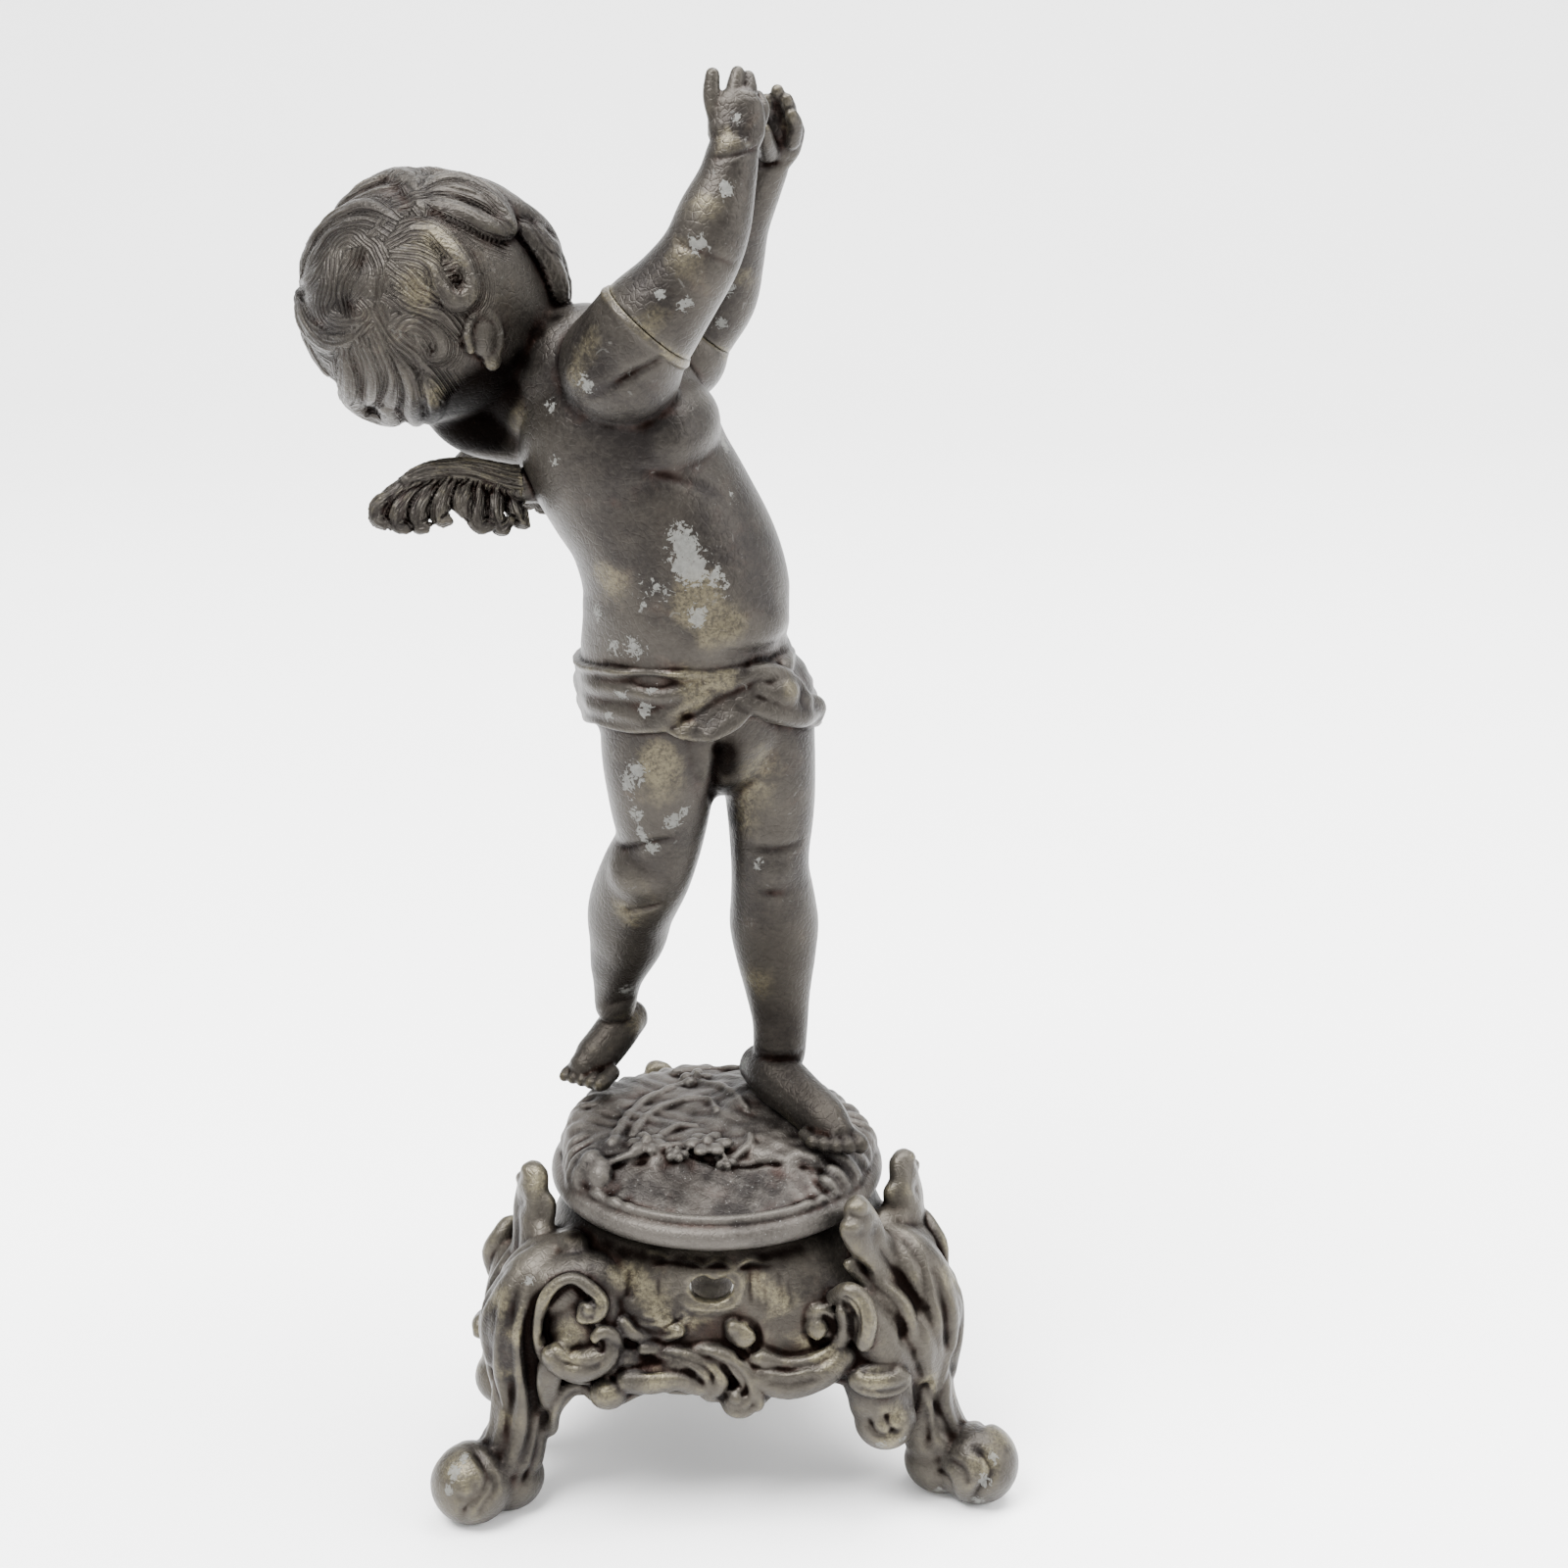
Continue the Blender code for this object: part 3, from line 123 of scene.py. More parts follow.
@dataclass
class Clay:
    """Overlapping forms of one casting, gathered and then fused into one skin."""

    name: str
    forms: list[Object] = field(default_factory=list)
    mesh: bmesh.types.BMesh = field(default_factory=bmesh.new)

    def ball(self, centre: Vector, radii: Row, ahead: Row = (1.0, 0.0, 0.0), up: Row = (0.0, 0.0, 1.0),
             segments: int = 32) -> None:
        """Adds an ellipsoid.

        Args:
            centre: Its middle, in metres.
            radii: Its radii along ahead, sideways and up, in mm.
            ahead: The direction of its first radius.
            up: The direction of its last radius.
            segments: How many sides it has.
        """
        bpy.ops.mesh.primitive_uv_sphere_add(segments=segments, ring_count=segments // 2, radius=1.0)
        form = bpy.context.active_object
        first = Vector(ahead).normalized()
        side = Vector(up).cross(first).normalized()
        turn = Matrix((first, side, first.cross(side))).transposed().to_4x4()
        size = Matrix.Diagonal((*[r * MM for r in radii], 1.0))
        form.data.transform(Matrix.Translation(centre) @ turn @ size)
        self.forms.append(form)

    def roll(self, rows: Rows, wide: Row = (0.0, 1.0, 0.0), sides: int = 12, steps: int = 4) -> None:
        """Adds a tube with round ends.

        Args:
            rows: World x, y, z in metres and one or two radii in mm; the second lies along wide.
            wide: The direction of the second radius.
            sides: How many sides the tube has.
            steps: How many rings each span gets.
        """
        rows = smooth_rows([(*row[:3], row[3], row[4] if len(row) > 4 else row[3]) for row in rows], steps)
        centres = [Vector(row[:3]) for row in rows]
        first = (centres[1] - centres[0]).normalized()
        last = (centres[-1] - centres[-2]).normalized()
        caps = [math.radians(a) for a in (75, 50, 25)]
        spans = [(centres[0] - first * rows[0][3] * MM * math.sin(a), rows[0], math.cos(a)) for a in caps]
        spans += [(centre, row, 1.0) for centre, row in zip(centres, rows)]
        spans += [(centres[-1] + last * rows[-1][3] * MM * math.sin(a), rows[-1], math.cos(a))
                  for a in reversed(caps)]
        rings = []
        for i, (centre, row, share) in enumerate(spans):
            ahead = (spans[min(i + 1, len(spans) - 1)][0] - spans[max(i - 1, 0)][0]).normalized()
            broad = Vector(wide) - ahead * ahead.dot(Vector(wide))
            broad.normalize()
            across = broad.cross(ahead)
            rings.append([self.mesh.verts.new(centre + across * (math.cos(t) * row[3] * share * MM)
                                              + broad * (math.sin(t) * row[4] * share * MM))
                          for t in (2 * math.pi * k / sides for k in range(sides))])
        for low, high in zip(rings, rings[1:]):
            for k in range(sides):
                n = (k + 1) % sides
                self.mesh.faces.new((low[k], low[n], high[n], high[k]))
        self.mesh.faces.new(list(reversed(rings[0])))
        self.mesh.faces.new(rings[-1])

    def take(self, thing: Object) -> None:
        """Adds a finished skin to the forms."""
        self.forms.append(thing)

    def fused(self, voxel: float, smoothing: int) -> Object:
        """Fuses the forms into one skin.

        Args:
            voxel: Size of the skin's faces, in mm.
            smoothing: How often the skin is relaxed.

        Returns:
            The skin's object.
        """
        bmesh.ops.recalc_face_normals(self.mesh, faces=self.mesh.faces)
        mesh = bpy.data.meshes.new(self.name)
        self.mesh.to_mesh(mesh)
        self.mesh.free()
        skin = bpy.data.objects.new(self.name, mesh)
        bpy.context.scene.collection.objects.link(skin)
        only(skin)
        for form in self.forms:
            form.select_set(True)
        if self.forms:
            bpy.ops.object.join()
        applied(skin, "REMESH", mode="VOXEL", voxel_size=voxel * MM)
        if smoothing:
            applied(skin, "SMOOTH", factor=0.5, iterations=smoothing)
        return skin


class Skin:
    """The points of a fused casting, worked by moving them along their normals."""

    def __init__(self, thing: Object) -> None:
        """Reads an object's points."""
        self.thing = thing
        mesh = thing.data
        count = len(mesh.vertices)
        self.co = np.empty(count * 3, np.float32)
        mesh.vertices.foreach_get("co", self.co)
        self.co = self.co.reshape(-1, 3).astype(float) / MM
        edges = np.empty(len(mesh.edges) * 2, np.int32)
        mesh.edges.foreach_get("vertices", edges)
        self.edges = edges.reshape(-1, 2)
        self.degree = np.maximum(np.bincount(self.edges.ravel(), minlength=count), 1)
        self.read_normals()

    def read_normals(self) -> None:
        """Reads the normals of the points as they stand."""
        mesh = self.thing.data
        normal = np.empty(len(mesh.vertices) * 3, np.float32)
        mesh.vertices.foreach_get("normal", normal)
        self.normal = normal.reshape(-1, 3).astype(float)

    def write(self) -> None:
        """Writes the points back and reads their new normals."""
        self.thing.data.vertices.foreach_set("co", (self.co * MM).astype(np.float32).ravel())
        self.thing.data.update()
        self.read_normals()

    def push(self, amount: np.ndarray) -> None:
        """Moves each point out along its normal, by mm."""
        self.co += self.normal * amount[:, None]

    def mean(self, values: np.ndarray) -> np.ndarray:
        """Mean of each point's neighbours.

        Args:
            values: One row for each point.

        Returns:
            The means, one row for each point.
        """
        a, b = self.edges.T
        out = np.empty_like(values)
        for i in range(values.shape[1]):
            total = np.bincount(a, values[b, i], len(values)) + np.bincount(b, values[a, i], len(values))
            out[:, i] = total / self.degree
        return out

    def relief(self, rounds: int) -> np.ndarray:
        """How far each point stands out from a relaxed copy of the skin.

        Args:
            rounds: How often the copy is relaxed.

        Returns:
            The heights in mm; hollows are negative.
        """
        calm = self.co
        for _ in range(rounds):
            calm = self.mean(calm)
        return ((self.co - calm) * self.normal).sum(1)

    def note(self, name: str, values: np.ndarray) -> None:
        """Keeps one number for each point, which the patina reads."""
        mesh = self.thing.data
        layer = mesh.attributes.get(name) or mesh.attributes.new(name, "FLOAT", "POINT")
        layer.data.foreach_set("value", values.astype(np.float32))

    def blob(self, centre: Vector, radius: float) -> np.ndarray:
        """Soft spot round a place: 1 at its middle and 0 far from it."""
        offset = self.co - np.array(centre) / MM
        return np.exp(-(offset ** 2).sum(1) / (radius * radius))

    def spots(self, places: tuple, strength: float) -> np.ndarray:
        """Soft spots where the studio camera sees points of its picture.

        Args:
            places: Picture points, each with a radius in mm.
            strength: Value at a spot's middle.

        Returns:
            Values from 0 to 1, one for each point.
        """
        out = np.zeros(len(self.co))
        for pixel, size in places:
            out += strength * self.blob(near_place(*pixel, self), size)
        return np.clip(out, 0, 1)

    def press(self, centre: Vector, radius: float, depth: float) -> None:
        """Presses a soft hollow into the skin; a negative depth raises it."""
        self.push(-depth * self.blob(centre, radius))

    def trail(self, points: list[Vector], reach: float, steps: int = 4) -> tuple[np.ndarray, ...]:
        """Finds the skin near a curve.

        Args:
            points: World places of the curve, in metres.
            reach: How far from it the skin counts, in mm.
            steps: How many pieces each span becomes.

        Returns:
            The near points' numbers, their distances, and their shares along the curve.
        """
        line = smooth_rows([tuple(p / MM for p in point) for point in points], steps)
        low, high = line.min(0) - reach, line.max(0) + reach
        near = np.nonzero(((self.co > low) & (self.co < high)).all(1))[0]
        co = self.co[near]
        best = np.full(len(near), 1e9)
        share = np.zeros(len(near))
        for i, (p, q) in enumerate(zip(line, line[1:])):
            way = q - p
            t = np.clip(((co - p) @ way) / max(way @ way, 1e-9), 0.0, 1.0)
            distance = np.linalg.norm(co - p - t[:, None] * way, axis=1)
            closer = distance < best
            best[closer] = distance[closer]
            share[closer] = (i + t[closer]) / (len(line) - 1)
        kept = best < reach
        return near[kept], best[kept], share[kept]

    def crease(self, points: list[Vector], width: float, depth: float, fade: bool = True) -> None:
        """Draws a groove along a curve; a negative depth draws a ridge.

        Args:
            points: World places of the curve.
            width: Its half width in mm.
            depth: Its depth in mm.
            fade: Whether it dies out at both ends.
        """
        near, distance, share = self.trail(points, width * 2.5)
        amount = depth * np.exp(-(distance / width) ** 2)
        if fade:
            amount *= np.clip(np.minimum(share, 1 - share) * 6, 0, 1)
        self.co[near] -= self.normal[near] * amount[:, None]

    def strands(self, trails: list[tuple[np.ndarray, float]], pitch: float, depth: float,
                where: np.ndarray, fine: float) -> None:
        """Combs grooves along the nearest trail, and notes finer ones for the patina's bump.

        Args:
            trails: Each trail's points in mm and its reach in mm.
            pitch: Distance from groove to groove in mm.
            depth: Depth of the grooves in mm.
            where: Strength at each point, 0 to 1.
            fine: Distance from groove to groove of the bump, in mm.
        """
        tree = KDTree(sum(len(line) for line, _ in trails))
        places, ways, reaches = [], [], []
        for line, reach in trails:
            way = np.gradient(line, axis=0)
            way /= np.maximum(np.linalg.norm(way, axis=1, keepdims=True), 1e-9)
            for point, direction in zip(line, way):
                tree.insert(point, len(places))
                places.append(point)
                ways.append(direction)
                reaches.append(reach)
        tree.balance()
        places, ways, reaches = np.array(places), np.array(ways), np.array(reaches)
        chosen = np.nonzero(where > 0.02)[0]
        nearest = np.array([tree.find(self.co[i])[1] for i in chosen], dtype=int)
        side = np.cross(ways[nearest], self.normal[chosen])
        side /= np.maximum(np.linalg.norm(side, axis=1, keepdims=True), 1e-9)
        offset = self.co[chosen] - places[nearest]
        across = (offset * side).sum(1)
        hold = where[chosen] * np.clip(1.6 - np.linalg.norm(offset, axis=1) / reaches[nearest], 0, 1)
        wander = 0.35 * np.sin((self.co[chosen] @ np.array([0.31, 0.23, 0.37])))
        amount = depth * hold * (0.5 + 0.5 * np.cos(2 * math.pi * (across / pitch + wander)))
        self.co[chosen] -= self.normal[chosen] * amount[:, None]
        phase, mask = np.zeros(len(self.co)), np.zeros(len(self.co))
        phase[chosen] = across * 2 * math.pi / fine
        mask[chosen] = hold
        self.note("strand", phase)
        self.note("combed", mask)

    def finished(self, most: int) -> Object:
        """Notes the relief for the patina, and thins the skin to a budget of triangles."""
        self.write()
        self.note("crest", self.relief(5))
        self.note("form", self.relief(40))
        mesh = self.thing.data
        count = sum(len(face.vertices) - 2 for face in mesh.polygons)
        if count > most:
            applied(self.thing, "DECIMATE", ratio=most / count, use_collapse_triangulate=True)
        self.thing.data.shade_smooth()
        return self.thing


def cut_flat(thing: Object, place: Vector, outward: Vector) -> None:
    """Cuts a skin flat and closes it, keeping what lies behind the plane.

    Args:
        thing: The skin.
        place: A place on the plane.
        outward: The plane's direction towards what is cut away.
    """
    work = bmesh.new()
    work.from_mesh(thing.data)
    cut = bmesh.ops.bisect_plane(work, geom=work.verts[:] + work.edges[:] + work.faces[:], plane_co=place,
                                 plane_no=outward, clear_outer=True)
    rim = [e for e in cut["geom_cut"] if isinstance(e, bmesh.types.BMEdge)]
    bmesh.ops.holes_fill(work, edges=rim)
    bmesh.ops.triangulate(work, faces=[f for f in work.faces if len(f.verts) > 4])
    work.to_mesh(thing.data)
    work.free()


class Shade:
    """One socket of a patina's shader, with arithmetic."""

    def __init__(self, recipe: "Recipe", socket: bpy.types.NodeSocket) -> None:
        """Wraps a socket."""
        self.recipe = recipe
        self.socket = socket

    def _sum(self, operation: str, first: object, second: object) -> "Shade":
        """Adds one Math node."""
        node = self.recipe.node("ShaderNodeMath", {"operation": operation}, {0: first, 1: second})
        return Shade(self.recipe, node.outputs[0])

    def __add__(self, other: object) -> "Shade":
        """Sum."""
        return self._sum("ADD", self, other)

    __radd__ = __add__

    def __sub__(self, other: object) -> "Shade":
        """Difference."""
        return self._sum("SUBTRACT", self, other)

    def __rsub__(self, other: object) -> "Shade":
        """Difference from a number."""
        return self._sum("SUBTRACT", other, self)

    def __mul__(self, other: object) -> "Shade":
        """Product."""
        return self._sum("MULTIPLY", self, other)

    __rmul__ = __mul__

    def sine(self) -> "Shade":
        """Sine, in radians."""
        return self._sum("SINE", self, 0.0)

    def rise(self, low: float, high: float) -> "Shade":
        """Smooth step from 0 at low to 1 at high."""
        node = self.recipe.node("ShaderNodeMapRange", {"interpolation_type": "SMOOTHSTEP", "clamp": True},
                                {"Value": self, "From Min": low, "From Max": high})
        return Shade(self.recipe, node.outputs[0])


class Recipe:
    """The node tree of one material."""

    def __init__(self, name: str) -> None:
        """Starts a material with its Principled shader."""
        self.material = bpy.data.materials.new(name)
        self.material.use_nodes = True
        self.tree = self.material.node_tree
        self.shader = self.tree.nodes["Principled BSDF"]
        self.place = self.node("ShaderNodeTexCoord").outputs["Object"]

    def node(self, kind: str, settings: dict | None = None, values: dict | None = None) -> bpy.types.Node:
        """Adds a node.

        Args:
            kind: Its type.
            settings: Its own settings, which are set first.
            values: Values or links of its sockets, by name or number.

        Returns:
            The node.
        """
        node = self.tree.nodes.new(kind)
        for name, value in (settings or {}).items():
            setattr(node, name, value)
        for key, value in (values or {}).items():
            self.join(value, node.inputs[key])
        return node

    def join(self, value: object, socket: bpy.types.NodeSocket) -> None:
        """Links a shade or a socket to a socket, or sets the socket's value."""
        if isinstance(value, Shade):
            value = value.socket
        if isinstance(value, bpy.types.NodeSocket):
            self.tree.links.new(value, socket)
        else:
            socket.default_value = value

    def noise(self, size: float, detail: float = 3.0, rough: float = 0.55, warp: float = 0.0) -> Shade:
        """Cloudy noise whose lumps are about size mm wide."""
        node = self.node("ShaderNodeTexNoise", None, {"Vector": self.place, "Scale": 1000.0 / size,
                                                      "Detail": detail, "Roughness": rough,
                                                      "Distortion": warp})
        return Shade(self, node.outputs[0])

    def cells(self, size: float, edges: bool) -> Shade:
        """Cellular pattern whose cells are about size mm wide."""
        node = self.node("ShaderNodeTexVoronoi", {"feature": "DISTANCE_TO_EDGE" if edges else "F1"},
                         {"Vector": self.place, "Scale": 1000.0 / size})
        return Shade(self, node.outputs[0])

    def noted(self, name: str) -> Shade:
        """A number kept on the skin's points."""
        return Shade(self, self.node("ShaderNodeAttribute", {"attribute_name": name}).outputs["Fac"])

    def mix(self, amount: object, first: object, second: object) -> bpy.types.NodeSocket:
        """Blend of two colours."""
        node = self.node("ShaderNodeMix", {"data_type": "RGBA"}, {0: amount, 6: first, 7: second})
        return node.outputs[2]


Colour = tuple[float, float, float, float]


@dataclass(frozen=True)
class Patina:
    """Worn dark patina over spelter: how it is coloured, rubbed, chipped and cracked, with painted sheen on
    its crests, painted highlights among its rubs and painted shade in its hollows and where shadow falls.
    """

    name: str
    dark: Colour = (0.0085, 0.0066, 0.0058, 1.0)
    body: Colour = (0.0190, 0.0155, 0.0124, 1.0)
    russet: Colour = (0.0210, 0.0098, 0.0068, 1.0)
    recess_and_shade: Colour = (0.0016, 0.0009, 0.0007, 1.0)
    rub_and_highlight: Colour = (0.092, 0.079, 0.048, 1.0)
    painted_sheen: Colour = (0.043, 0.0385, 0.032, 1.0)
    bare: Colour = (0.112, 0.113, 0.104, 1.0)
    dust: Colour = (0.180, 0.178, 0.170, 1.0)
    rubbed: float = 0.5
    chipped: float = 0.5
    dusty: float = 0.0
    crackle: float = 1.0
    roughness: float = 0.44

    def made(self) -> bpy.types.Material:
        """Builds the material.

        Returns:
            The material.
        """
        r = Recipe(self.name)
        crest, form = r.noted("crest"), r.noted("form")
        chips, rubs_and_highlights, painted_shade = r.noted("chips"), r.noted("rubs_and_highlights"), r.noted("painted_shade")
        clouds = r.noise(24.0, 3.0)
        patches = r.noise(8.0, 4.0, 0.6, 0.6)
        grain = r.noise(1.3, 3.0, 0.65)
        specks = r.noise(0.6, 2.0, 0.7)
        colour = r.mix(clouds.rise(0.36, 0.64), self.dark, self.body)
        colour = r.mix((patches * 0.7 + form * -0.22).rise(0.34, 0.58) * 0.6, colour, self.russet)
        # Painted sheen: a lighter grey on crests and broad swells, standing in for highlights of the studio
        # light
        sheen = (crest * 1.0 + form * 0.22 + grain * 0.5 + clouds * 0.6 + patches * 0.3).rise(0.52, 1.0) * 0.6
        colour = r.mix(sheen, colour, self.painted_sheen)
        # Rubbed wear on crests and in patches, and painted highlights where the note of rubs holds them
        worn = crest * 0.9 + form * 0.20 + patches * 1.1 + clouds * 0.6 + rubs_and_highlights * 0.75
        wear_and_highlight = worn.rise(1.16 - 0.25 * self.rubbed, 1.75 - 0.25 * self.rubbed) * (0.45 + self.rubbed * 0.5)
        wear_and_highlight = wear_and_highlight * (0.25 + (specks * 0.5 + grain * 0.8).rise(0.50, 0.78) * 0.85)
        colour = r.mix(wear_and_highlight, colour, self.rub_and_highlight)
        # Partly patina gathered in hollows, partly painted shade: near black where the skin is concave
        deep = (crest * -1.9 + form * -0.62 + grain * 0.15).rise(0.18, 0.88) * 0.94
        colour = r.mix(deep, colour, self.recess_and_shade)
        flake = r.noise(1.7, 4.0, 0.62, 1.2)
        lost = ((flake - 0.5) * 3.4 + chips * 1.1).rise(0.55, 0.66) * chips.rise(0.06, 0.20)
        lost = lost + (r.noise(2.6, 3.0, 0.6, 1.0) * 1.0 + patches * 0.35).rise(0.862, 0.885) * self.chipped
        lost = lost.rise(0.0, 1.0)
        colour = r.mix(lost * (0.15 + grain * 1.05), colour, self.bare)
        if self.dusty:
            dust = (specks + grain * 0.25).rise(0.80, 0.86) * self.dusty
            colour = r.mix(dust, colour, self.dust)
        # Painted shade: near black where the note of painted shade is high
        colour = r.mix(painted_shade * 0.96, colour, self.recess_and_shade)
        r.join(colour, r.shader.inputs["Base Color"])
        rough = self.roughness + (grain - 0.5) * 0.24 + lost * 0.2 + deep * 0.16 + painted_shade * 0.2 - wear_and_highlight * 0.04
        r.join(rough, r.shader.inputs["Roughness"])
        r.join((0.62 + deep * 0.4 + painted_shade * 0.4 - lost * 0.4).rise(0.0, 1.0), r.shader.inputs["Metallic"])
        r.shader.inputs["Specular IOR Level"].default_value = 0.32
        comb = r.noted("strand").sine() * r.noted("combed") * 0.11
        cracks = r.cells(1.9, True).rise(0.0, 0.14) * (0.045 * self.crackle)
        pores = r.noise(0.9, 2.0, 0.5) * (0.105 * self.crackle)
        pits = r.noise(3.2, 3.0, 0.6) * 0.12
        height = comb + cracks + pores + pits - lost * 0.05
        bump = r.node("ShaderNodeBump", None, {"Strength": 1.0, "Distance": MM, "Height": height})
        r.join(bump.outputs[0], r.shader.inputs["Normal"])
        return r.material


def dressed(piece: Object, node: str, patina: bpy.types.Material) -> None:
    """Gives a finished skin its patina and puts it in its node's place."""
    piece.name = node + "_skin"
    piece.data.name = piece.name
    piece.data.materials.clear()
    piece.data.materials.append(patina)
    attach(piece, "root")
    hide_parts(node)
    axes = list(zip(*[v.co for v in piece.data.vertices]))
    size = [(max(axis) - min(axis)) / MM for axis in axes]
    log.info("%s: %d faces, %.0f x %.0f x %.0f mm", piece.name, len(piece.data.polygons), *size)


@dataclass
class Head:
    """Head thrown back and turned away, with a calm plain child's face and curly hair.

    Places on the face are ahead, to its left and up from the skull's middle, in mm.
    Places in the hair are degrees round from -Y towards +X, and degrees up."""

    middle: Row = (-68.0, 9.0, 211.5)
    radii: Row = (33.0, 30.0, 31.0)
    ahead: Row = (0.76, 0.62, 0.14)
    up: Row = (-0.22, -0.04, 0.97)
    skull: Row = (30.4, 28.4, 29.4)
    lift: float = 0.935
    hair_grain: float = 0.6
    comb_pitch: float = 1.25
    comb_depth: float = 0.30
    fine_pitch: float = 0.62
    # Each lock is a radius and then places in the hair
    near_locks: tuple = (
        (3.0, (-17, 17), (-17, 24), (-22, 32), (-30, 36), (-39, 38), (-46, 34), (-47, 28), (-44, 20),
         (-42, 13), (-44, 6), (-42, 1), (-34, -1), (-26, 1), (-22, 5), (-25, 9)),
        (1.9, (-25, 27), (-22, 22), (-23, 16), (-27, 12), (-31, 9)),
        (4.0, (-21, 50), (-44, 54), (-62, 48), (-71, 39), (-75, 32), (-83, 22), (-84, 14)),
        (3.4, (-18, 41), (-32, 45), (-46, 44), (-57, 39), (-62, 30), (-66, 22), (-70, 16)),
        (4.4, (-1, 56), (-10, 70), (-60, 80), (-109, 74), (-99, 62), (-94, 55), (-91, 47)),
        (2.6, (-85, 42), (-72, 58), (-49, 69), (-8, 76)),
        (4.6, (-3, 67), (24, 75), (59, 73), (62, 62), (62, 53), (58, 44)),
        (3.4, (-15, 56), (7, 59), (28, 53), (41, 46), (52, 42)),
        (3.0, (-8, 30), (0, 29), (6, 25), (9, 17), (15, 10), (21, 13), (22, 19), (19, 26), (15, 25)),
        (3.2, (-13, 38), (-4, 43), (6, 43), (13, 37), (18, 30), (21, 24), (22, 17)),
        (2.8, (-10, 12), (-4, 8), (3, 6), (9, 4), (13, -1)),
        (2.6, (-12, -1), (-4, 3), (3, 0), (8, -6), (8, -13), (3, -15), (1, -10)),
        (3.2, (-27, -8), (-25, -17), (-26, -28), (-36, -40), (-50, -46)),
        (4.4, (-36, -13), (-38, -24), (-46, -36), (-60, -46), (-64, -56), (-40, -60), (-29, -48)),
        (3.0, (-17, -6), (-15, -17), (-14, -27), (-21, -40), (-33, -50)),
        (3.4, (-12, -11), (-8, -21), (-6, -33), (-10, -48), (-20, -66)),
        (3.2, (0, -19), (2, -31), (4, -44), (-2, -62)),
        (4.4, (-82, 3), (-67, -4), (-54, -9), (-42, -10), (-30, -6), (-23, 0)),
        (3.2, (-77, 10), (-63, 15), (-54, 21), (-51, 28)),
        (3.6, (-97, 32), (-100, 12), (-96, -6), (-86, -20), (-68, -30)),
        (2.8, (-12, 24), (-6, 20), (-1, 15), (5, 12)),
        (2.8, (-16, 4), (-10, -6), (-4, -12), (2, -22), (8, -34)),
        (3.0, (-24, 44), (-30, 26), (-32, 10), (-26, -8)),
        (3.4, (84, 44), (91, 30), (95, 16), (95, 4), (90, -4)),
        (3.2, (74, 40), (82, 24), (86, 8), (92, -6)),
        (3.8, (-4, 62), (18, 67), (40, 65), (54, 57), (57, 48)),
        (3.8, (-195, 72), (-192, 82), (-100, 88), (-12, 84), (-10, 76)),
        (3.6, (-252, 74), (-246, 84), (-90, 85), (-70, 78)),
        (3.4, (-150, 76), (-140, 84), (40, 86), (44, 76)),
    )
    # The first lock, and the one after the last, of those that are combed over the brow
    forelocks: tuple = (23, 25)
    # Places in the hair, each with a radius and a depth
    hollows: tuple = ((-28, 26, 4.0, 1.5), (-31, 7, 3.4, 1.5), (-68, 8, 3.0, 0.5), (17, 20, 2.2, 0.5),
                      (5, -11, 1.8, 0.4), (-12, 12, 2.0, 0.4))

    def at(self, ahead: float, side: float, up: float) -> Vector:
        """World place of a point on the face."""
        first = Vector(self.ahead).normalized()
        left = Vector(self.up).cross(first).normalized()
        reach = first * ahead + left * side + first.cross(left) * up
        return spot(*(Vector(self.middle) + reach))

    def over(self, lon: float, lat: float, lift: float = 1.0) -> Vector:
        """World place of a point in the hair."""
        a, b = math.radians(lon), math.radians(lat)
        way = (math.sin(a) * math.cos(b), -math.cos(a) * math.cos(b), math.sin(b))
        return spot(*[m + r * w * lift for m, r, w in zip(self.middle, self.radii, way)])

    def far_locks(self) -> list[tuple]:
        """Wavy locks that fall from the crown over the side turned away.

        Returns:
            A radius and then places in the hair, for each lock.
        """
        locks = []
        for k in range(13):
            lon = -112 - 13.5 * k
            reach = 96 if k < 9 else 62
            low = 62 - reach if k < 9 else 24
            curl = 1 if k % 2 else -1
            trail = [(lon + curl * (3.5 + s * 9) * math.sin(s * 6.2 + k), 74 - (74 - low) * s)
                     for s in (0.0, 0.17, 0.34, 0.5, 0.66, 0.82)]
            end = trail[-1]
            trail += [(end[0] + curl * 7, end[1] - 8), (end[0] + curl * 14, end[1] - 5),
                      (end[0] + curl * 14, end[1] + 3), (end[0] + curl * 8, end[1] + 3)]
            locks.append((3.4 + 0.7 * math.sin(k * 1.7), *trail))
        return locks

    def add_flesh(self, clay: Clay) -> None:
        """Adds the skull, jaw, cheeks and neck."""
        face = (self.ahead, self.up)
        clay.ball(self.at(0, 0, 0), self.skull, *face, 48)
        clay.ball(self.at(9.5, 0, -9.0), (20.0, 20.0, 18.0), *face, 40)
        for side in (-1, 1):
            clay.ball(self.at(16.5, side * 10.5, -11.0), (9.5, 9.0, 8.6), *face)
        clay.ball(self.at(25.0, 0, -22.5), (5.0, 6.5, 4.6), *face)
        clay.ball(self.at(26.5, 0, -15.5), (4.4, 7.0, 5.2), *face)
        neck = ((-60.0, 11.0, 201.0, 14.0), (-51.0, 10.0, 194.5, 12.6), (-40.0, 9.0, 188.0, 15.0))
        nape = ((-68.0, 9.0, 187.0, 6.0), (-60.0, 9.0, 181.0, 7.6), (-44.0, 9.0, 178.0, 8.6))
        for part in (neck, nape):
            clay.roll([(*spot(*row[:3]), row[3]) for row in part], sides=20)

    def model_face(self, skin: Skin) -> None:
        """Presses the eye sockets, temples and the hollow under the lips."""
        for side in (-1, 1):
            skin.press(self.at(28.0, side * 10.8, -1.5), 5.2, 2.6)
            skin.press(self.at(20.0, side * 21.0, 6.0), 8.0, 0.8)
        skin.press(self.at(30.0, 0, -19.8), 2.6, 0.8)
        skin.press(self.at(31.0, 0, 1.5), 3.6, 0.9)

